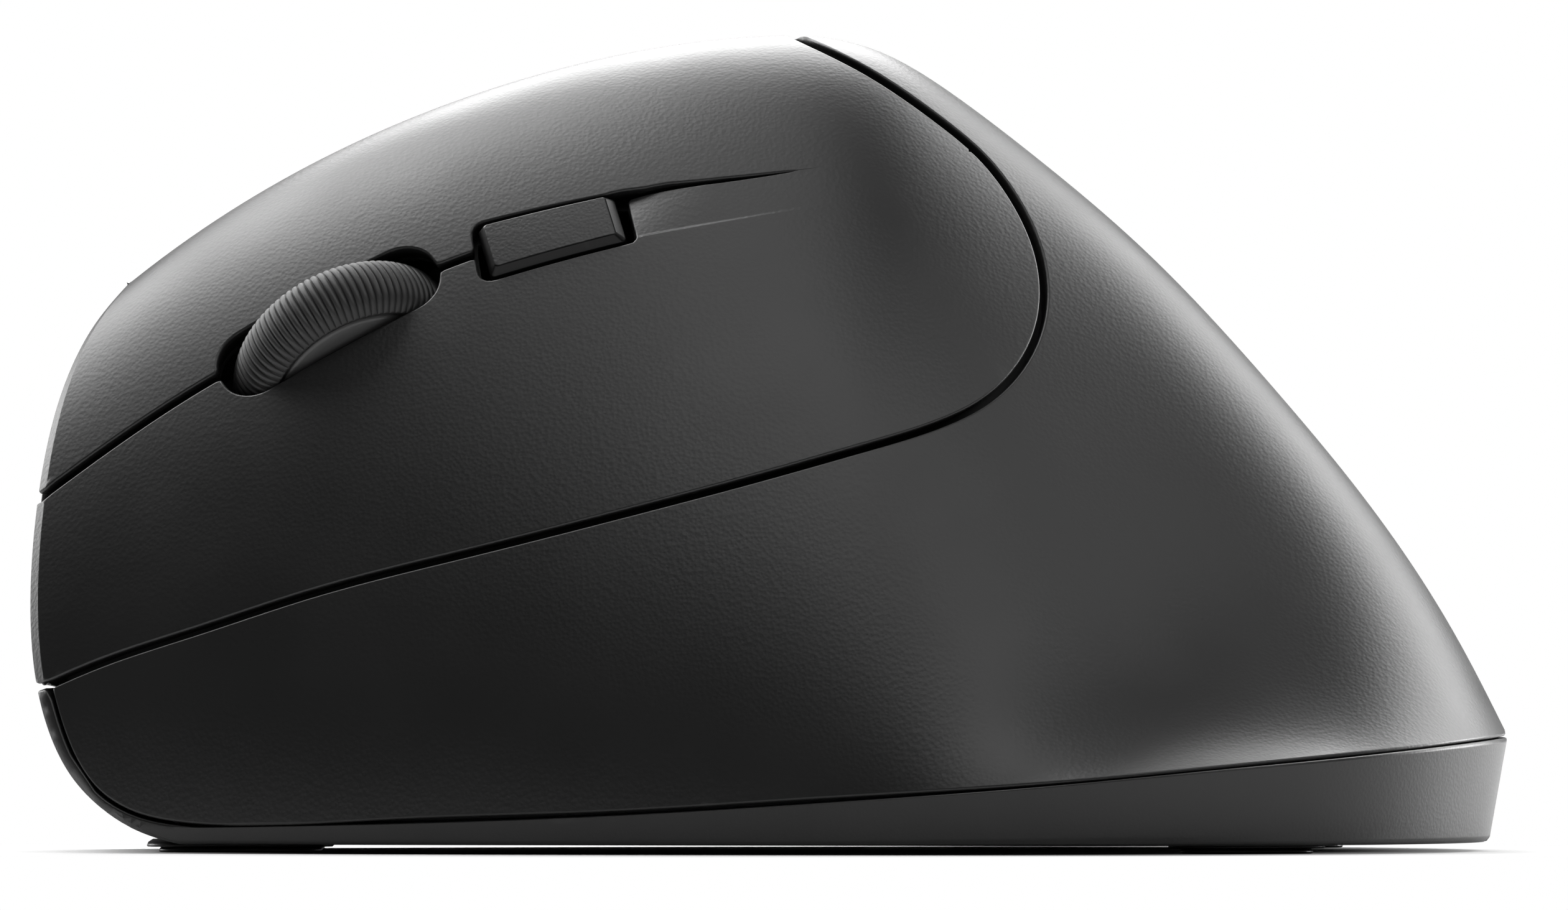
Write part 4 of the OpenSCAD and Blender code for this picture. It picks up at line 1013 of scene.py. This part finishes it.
def resolution_cap():
    full = rounded_quad(CAP, (CAP_CORNER,) * 4)
    top = np.array(CAP) + np.array([(-CAP_RIGHT, -CAP_HIGH), (CAP_LEFT, -CAP_HIGH), (CAP_LEFT, CAP_LOW),
                                    (-CAP_RIGHT, CAP_LOW)])
    middle = top.mean(0)
    rings = [cap_ring(full, -CAP_DEEP), cap_ring(full, CAP_SHOULDER)]
    for share in (1.0, 0.75, 0.5, 0.25, 0.05):
        face = rounded_quad(middle + (top - middle) * share, (FACE_CORNER * share,) * 4)
        rings.append(cap_ring(face, CAP_PROUD))
    obj = loft_rings("resolution_cap", rings, sharp=(1, 2))
    # Sides and slanted borders take the second material: painted shade, a darker and less shiny copy of the
    # cap plastic
    for face in obj.data.polygons[:2 * len(full)]:
        face.material_index = 1
    round_edges(obj, 0.09, 20)
    return obj


cap = resolution_cap()

# Wheel: ribbed barrel tyre over a smooth hub
WHEEL_R, WHEEL_SINK = 10.15, 6.35
WHEEL_LOW, WHEEL_CROWN, WHEEL_HIGH = -3.25, -0.35, 2.6
RIBS, RIB_DEPTH = 98, 0.32
LOW_SHOULDER_R, HIGH_SHOULDER_R = 8.4, 8.75
RIM_R = 7.65
rib_places = np.array([0.0, 0.05, 0.16, 0.33, 0.5, 0.67, 0.84, 0.95])
rib_heights = np.sqrt(np.clip(1 - (2 * rib_places - 1)**2, 0, 1))


def wheel_point(radius, turn, across):
    """Points of the wheel from radius, turn and place across it."""
    middle, along, over, out = WHEEL_FRAME
    centre = middle - out * WHEEL_SINK
    wide = np.broadcast_to(across, np.shape(turn))
    return (centre + np.multiply.outer(radius * np.cos(turn), along)
            + np.multiply.outer(radius * np.sin(turn), out) + np.multiply.outer(wide, over))


def tread(across):
    """Radius of the barrel crown at a place across the wheel."""
    low = across < WHEEL_CROWN
    end = np.where(low, WHEEL_LOW, WHEEL_HIGH)
    drop = WHEEL_R - np.where(low, LOW_SHOULDER_R, HIGH_SHOULDER_R)
    share = (across - WHEEL_CROWN) / (end - WHEEL_CROWN)
    return WHEEL_R - drop * (0.55 * share**2 + 0.45 * share**7)


def tyre():
    """Tread profile from the lower shoulder to the upper, swept round with ribs that end at the shoulders."""
    profile = [(RIM_R, WHEEL_LOW + 0.55, 0), (LOW_SHOULDER_R - 0.22, WHEEL_LOW + 0.12, 0),
               (LOW_SHOULDER_R - 0.08, WHEEL_LOW + 0.02, 0)]
    way = np.linspace(0, 1, 25)
    places = WHEEL_LOW + (WHEEL_HIGH - WHEEL_LOW) * (0.5 - 0.5 * np.cos(math.pi * way)) ** 0.9
    for across in places:
        edge = min(across - WHEEL_LOW, WHEEL_HIGH - across)
        profile.append((float(tread(across)), across, min(1.0, 0.25 + edge / 0.2)))
    profile += [(HIGH_SHOULDER_R - 0.08, WHEEL_HIGH - 0.02, 0), (HIGH_SHOULDER_R - 0.3, WHEEL_HIGH - 0.12, 0),
                (RIM_R, WHEEL_HIGH - 0.4, 0)]
    turn = ((np.arange(RIBS)[:, None] + rib_places[None]) * 2 * math.pi / RIBS).ravel()
    dip = np.tile(1 - rib_heights, RIBS) * RIB_DEPTH
    rings = [wheel_point(radius - fade * dip, turn, across) for radius, across, fade in profile]
    return turned_piece("wheel_tyre", rings)


def turned_piece(name, rings):
    """Closed ring swept from profile rings; the last ring joins the first."""
    size = len(rings[0])
    places = [np.arange(k * size, (k + 1) * size) for k in range(len(rings))]
    faces = []
    for first, second in zip(places, places[1:] + places[:1]):
        faces += strip(first, second)
    return mesh_object(name, np.concatenate(rings), faces)


def hub():
    """Domed side discs joined through the middle."""
    low, high = WHEEL_LOW + 0.3, WHEEL_HIGH - 0.3
    turn = np.linspace(0, 2 * math.pi, 128, endpoint=False)
    side = [(2.0, 0.05), (3.4, -0.05), (5.0, 0.1), (6.5, 0.05), (7.3, -0.06), (7.55, -0.2),
            (RIM_R - 0.02, -0.45)]
    profile = [(r, low - by) for r, by in side] + [(r, high + by) for r, by in reversed(side)]
    rings = [wheel_point(np.full_like(turn, r), turn, a) for r, a in profile]
    return turned_piece("wheel_side_disc", rings)


wheel_tyre, wheel_disc = tyre(), hub()


def node(tree, kind, **values):
    """New shader node with its settings and socket values."""
    made = tree.nodes.new(kind)
    for key, value in values.items():
        if key in made.inputs:
            made.inputs[key].default_value = value
        else:
            setattr(made, key, value)
    return made


def surface_material(name, colour, rough, grain, depth, specular=0.5, metal=0.0, wear=0.35, cells=True):
    """Moulded or rolled surface: fine grain as bump, uneven gloss, worn edges. Grain and depth in metres."""
    material = bpy.data.materials.new(name)
    material.use_nodes = True
    tree = material.node_tree
    tree.nodes.clear()
    link = tree.links.new
    out = node(tree, "ShaderNodeOutputMaterial")
    shader = node(tree, "ShaderNodeBsdfPrincipled", **{"Metallic": metal, "Specular IOR Level": specular})
    place = node(tree, "ShaderNodeTexCoord")
    if cells:
        texture = node(tree, "ShaderNodeTexVoronoi", feature="SMOOTH_F1", Scale=1 / grain, Smoothness=0.55)
        height = texture.outputs["Distance"]
    else:
        texture = node(tree, "ShaderNodeTexNoise", Scale=1 / grain, Detail=4.0)
        height = texture.outputs["Fac"]
    fine = node(tree, "ShaderNodeTexNoise", Scale=2.7 / grain, Detail=3.0)
    patch = node(tree, "ShaderNodeTexNoise", Scale=90.0, Detail=5.0)
    for pattern in (texture, fine, patch):
        link(place.outputs["Object"], pattern.inputs["Vector"])
    mixed = node(tree, "ShaderNodeMath", operation="MULTIPLY_ADD")
    mixed.inputs[1].default_value = 0.45
    link(fine.outputs["Fac"], mixed.inputs[0])
    link(height, mixed.inputs[2])
    bump = node(tree, "ShaderNodeBump", Strength=1.0, Distance=depth)
    link(mixed.outputs["Value"], bump.inputs["Height"])
    link(bump.outputs["Normal"], shader.inputs["Normal"])
    gloss = node(tree, "ShaderNodeMapRange",
                 **{"To Min": rough - GLOSS_SPREAD, "To Max": rough + GLOSS_SPREAD})
    link(patch.outputs["Fac"], gloss.inputs["Value"])
    link(gloss.outputs["Result"], shader.inputs["Roughness"])
    shape = node(tree, "ShaderNodeNewGeometry")
    edge = node(tree, "ShaderNodeMapRange", **{"From Min": 0.52, "From Max": 0.62, "To Max": wear})
    link(shape.outputs["Pointiness"], edge.inputs["Value"])
    shade = node(tree, "ShaderNodeMix", data_type="RGBA")
    shade.inputs[6].default_value = (*colour, 1)
    shade.inputs[7].default_value = (*(min(1.0, c * 1.8 + 0.012) for c in colour), 1)
    link(edge.outputs["Result"], shade.inputs[0])
    link(shade.outputs[2], shader.inputs["Base Color"])
    link(shader.outputs["BSDF"], out.inputs["Surface"])
    return material


GLOSS_SPREAD = 0.06
GRAIN = 0.00036
cover_plastic = surface_material("grained_charcoal", (0.009, 0.009, 0.009), 0.40, GRAIN, 0.000014)
shell_plastic = surface_material("shell_charcoal", (0.010, 0.010, 0.010), 0.40, GRAIN, 0.000014)
base_plastic = surface_material("base_charcoal", (0.010, 0.010, 0.010), 0.40, GRAIN * 0.8, 0.00001)
key_plastic = surface_material("key_black", (0.007, 0.007, 0.007), 0.36, GRAIN * 0.7, 0.000008)
cap_plastic = surface_material("cap_black", (0.007, 0.007, 0.007), 0.36, GRAIN * 0.8, 0.000014)
# Cap borders: the cap plastic made darker and less shiny, as painted shade on the bevels
cap_rim_shade = surface_material("cap_rim_painted_shade", (0.003, 0.003, 0.003), 0.34, GRAIN, 0.000002, specular=0.22)
rubber = surface_material("tyre_rubber", (0.018, 0.018, 0.018), 0.5, 0.0002, 0.00001, cells=False)
disc_plastic = surface_material("wheel_grey", (0.06, 0.06, 0.06), 0.35, 0.00025, 0.00001, cells=False)
# Near-black colour of the sheet under the seams: painted shade for the hollow inside
seam_shade_paint = surface_material("seam_painted_shade", (0.004, 0.004, 0.004), 0.7, 0.0005, 0.00002, cells=False)
glide_plastic = surface_material("glide_grey", (0.035, 0.035, 0.035), 0.3, 0.0004, 0.00001, cells=False)
steel = surface_material("screw_steel", (0.45, 0.45, 0.46), 0.32, 0.0003, 0.00001, metal=1.0, cells=False)
gold = surface_material("contact_metal", (0.6, 0.5, 0.3), 0.35, 0.0003, 0.00001, metal=1.0, cells=False)
board_green = surface_material("board_green", (0.01, 0.06, 0.03), 0.4, 0.0006, 0.00001, cells=False)
inner_grey = surface_material("inner_grey", (0.05, 0.05, 0.052), 0.5, 0.0005, 0.00003, cells=False)
ivory = surface_material("ivory_plastic", (0.5, 0.47, 0.4), 0.45, 0.0005, 0.00001, cells=False)
cell_wrap = surface_material("cell_wrap", (0.12, 0.1, 0.03), 0.35, 0.0006, 0.00001, cells=False)
chip_black = surface_material("chip_black", (0.012, 0.012, 0.013), 0.4, 0.0003, 0.00001, cells=False)
lens_clear = surface_material("lens_smoke", (0.12, 0.1, 0.1), 0.12, 0.0006, 0.000004, cells=False)

NODE_FINISH = {
    board_green: ("button_board", "main_board", "thumb_board"),
    inner_grey: ("wheel_carrier", "inner_frame", "battery_tray"),
    chip_black: ("wheel_encoder", "click_switch", "index_switch", "middle_switch", "resolution_switch",
                 "thumb_switches", "sensor", "controller_chip", "receiver", "power_switch", "power_knob"),
    ivory: ("click_plunger", "index_plunger", "middle_plunger", "resolution_plunger", "forward_plunger",
            "back_plunger", "ribbon_socket", "ribbon", "light_source"),
    gold: ("contact_springs", "contact_plates"),
    steel: ("case_screws", "board_screws"),
    cell_wrap: ("cells",), base_plastic: ("battery_door",), lens_clear: ("sensor_lens",),
    disc_plastic: ("wheel_hub",),
}


def finish_nodes():
    """Finish and softened edges on the solids that stay in view."""
    for finish, names in NODE_FINISH.items():
        for name in names:
            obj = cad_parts[name]
            obj.data.materials.clear()
            obj.data.materials.append(finish)
            round_edges(obj, 0.08, 35)


def dress(objs, finish):
    for obj in objs:
        obj.data.materials.append(finish)


dress([upper_cover, lower_cover], cover_plastic)
dress([shell], shell_plastic)
dress([*base_pieces, plate, *pedestals], base_plastic)
dress(keys.values(), key_plastic)
dress([cap], cap_plastic)
# Second material of the cap: the painted-shade border
dress([cap], cap_rim_shade)
dress([wheel_tyre], rubber)
dress([wheel_disc], disc_plastic)
# The sheet under the seams takes the painted-shade colour
dress([liner], seam_shade_paint)
dress(glides, glide_plastic)
finish_nodes()

housing_pieces = [shell, *base_pieces, liner, plate, *pedestals, *glides]
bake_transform(upper_cover)
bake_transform(lower_cover)
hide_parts("index_button", "cover_bridge")
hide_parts("middle_button")
for piece in housing_pieces:
    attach(piece, "housing")
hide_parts("main_shell")
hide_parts("bottom_case")
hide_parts("front_glide")
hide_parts("rear_glides")
for name, piece in keys.items():
    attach(piece, f"{name}_key")
    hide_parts(f"{name}_button")
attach(cap, "resolution_key")
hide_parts("resolution_button")
for piece in (wheel_tyre, wheel_disc):
    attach(piece, "scroll_wheel")
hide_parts("scroll_tyre")


# Studio, in metres. Lights: name, turn from the camera side, lift, disk size and watts
CAMERA_DISTANCE = 3.3
FRAME_WIDTH = 0.13057
CAMERA_AIM = Vector((0.00117, 0.0, 0.03294))
CAMERA_TILT = math.radians(0.05)
LIGHT_DISTANCE = 1.0
LIGHT_AIM = Vector((0, 0, 0.03))
LIGHTS = [
    ("back", 180, 36, 0.6, 7.2),
    ("back_left", 225, 36, 0.6, 4.8),
    ("top_left", 225, 62, 0.5, 3.5),
    ("left_top", 240, 52, 0.6, 1.9),
    ("low_left", 230, 12, 0.5, 3.5),
    ("back_right", 140, 30, 0.6, 4.3),
    ("right", 120, 36, 0.6, 1.6),
    ("low_right", 125, 7, 0.4, 7.5),
    ("front_right", 55, 45, 0.6, 1.7),
    ("front_top", 5, 60, 0.6, 1.9),
    ("top", 0, 88, 0.5, 0.8),
]
FLOOR_HALF, FLOOR_Z = 14.0, -0.00002
SHADOW_REACH = (0.066, 0.046)
SHADOW_FADE = (0.7, 1.3)


def towards(turn, lift):
    """Direction from the object, by turn from the camera side and lift, in degrees."""
    turn, lift = math.radians(turn), math.radians(lift)
    return Vector((math.sin(turn) * math.cos(lift), -math.cos(turn) * math.cos(lift), math.sin(lift)))


def placed(name, data, place, aim):
    """Object in the scene that looks from a place to an aim."""
    obj = bpy.data.objects.new(name, data)
    bpy.context.scene.collection.objects.link(obj)
    obj.location = place
    obj.rotation_euler = (aim - obj.location).to_track_quat("-Z", "Y").to_euler()
    return obj


def add_camera():
    """Camera square to the finger side, as in the photo."""
    camera = bpy.data.cameras.new("camera")
    camera.sensor_width = 36.0
    camera.lens = camera.sensor_width * CAMERA_DISTANCE / FRAME_WIDTH
    camera.clip_end = 60
    away = Vector((0, -math.cos(CAMERA_TILT), math.sin(CAMERA_TILT)))
    bpy.context.scene.camera = placed("camera", camera, CAMERA_AIM + away * CAMERA_DISTANCE, CAMERA_AIM)


def add_lights():
    """Soft disks round the object, out of the camera's sight."""
    for name, turn, lift, size, power in LIGHTS:
        lamp = bpy.data.lights.new(name, "AREA")
        lamp.shape = "DISK"
        lamp.size = size
        lamp.energy = power
        obj = placed(name, lamp, LIGHT_AIM + towards(turn, lift) * LIGHT_DISTANCE, LIGHT_AIM)
        obj.visible_camera = False


def add_world():
    """White to the camera alone, so that only the lamps light the object."""
    world = bpy.data.worlds.new("studio")
    bpy.context.scene.world = world
    world.use_nodes = True
    tree = world.node_tree
    background = tree.nodes["Background"]
    background.inputs["Color"].default_value = (1, 1, 1, 1)
    rays = node(tree, "ShaderNodeLightPath")
    tree.links.new(rays.outputs["Is Camera Ray"], background.inputs["Strength"])


def floor_material():
    """Pale floor that shows its shadow near the object and is white to the camera farther out."""
    material = bpy.data.materials.new("floor_pale")
    material.use_nodes = True
    tree = material.node_tree
    link = tree.links.new
    shader = tree.nodes["Principled BSDF"]
    shader.inputs["Base Color"].default_value = (0.8, 0.8, 0.8, 1)
    shader.inputs["Roughness"].default_value = 0.9
    white = node(tree, "ShaderNodeEmission", Color=(1, 1, 1, 1), Strength=1.0)
    rays = node(tree, "ShaderNodeLightPath")
    place = node(tree, "ShaderNodeTexCoord")
    scaled = node(tree, "ShaderNodeVectorMath", operation="DIVIDE")
    scaled.inputs[1].default_value = (*SHADOW_REACH, 1)
    length = node(tree, "ShaderNodeVectorMath", operation="LENGTH")
    ramp = node(tree, "ShaderNodeMapRange", interpolation_type="SMOOTHSTEP",
                **{"From Min": SHADOW_FADE[0], "From Max": SHADOW_FADE[1]})
    both = node(tree, "ShaderNodeMath", operation="MULTIPLY")
    mix = node(tree, "ShaderNodeMixShader")
    link(place.outputs["Object"], scaled.inputs[0])
    link(scaled.outputs["Vector"], length.inputs[0])
    link(length.outputs["Value"], ramp.inputs["Value"])
    link(rays.outputs["Is Camera Ray"], both.inputs[0])
    link(ramp.outputs["Result"], both.inputs[1])
    link(both.outputs["Value"], mix.inputs[0])
    link(shader.outputs["BSDF"], mix.inputs[1])
    link(white.outputs["Emission"], mix.inputs[2])
    link(mix.outputs["Shader"], tree.nodes["Material Output"].inputs["Surface"])
    return material


def add_floor():
    mesh = bpy.data.meshes.new("floor")
    corners = [(x * FLOOR_HALF, y * FLOOR_HALF, FLOOR_Z) for x, y in ((-1, -1), (1, -1), (1, 1), (-1, 1))]
    mesh.from_pydata(corners, [], [(0, 1, 2, 3)])
    mesh.materials.append(floor_material())
    floor = bpy.data.objects.new("floor", mesh)
    bpy.context.scene.collection.objects.link(floor)


add_camera()
add_lights()
add_world()
add_floor()
bpy.context.scene.view_settings.view_transform = "Standard"
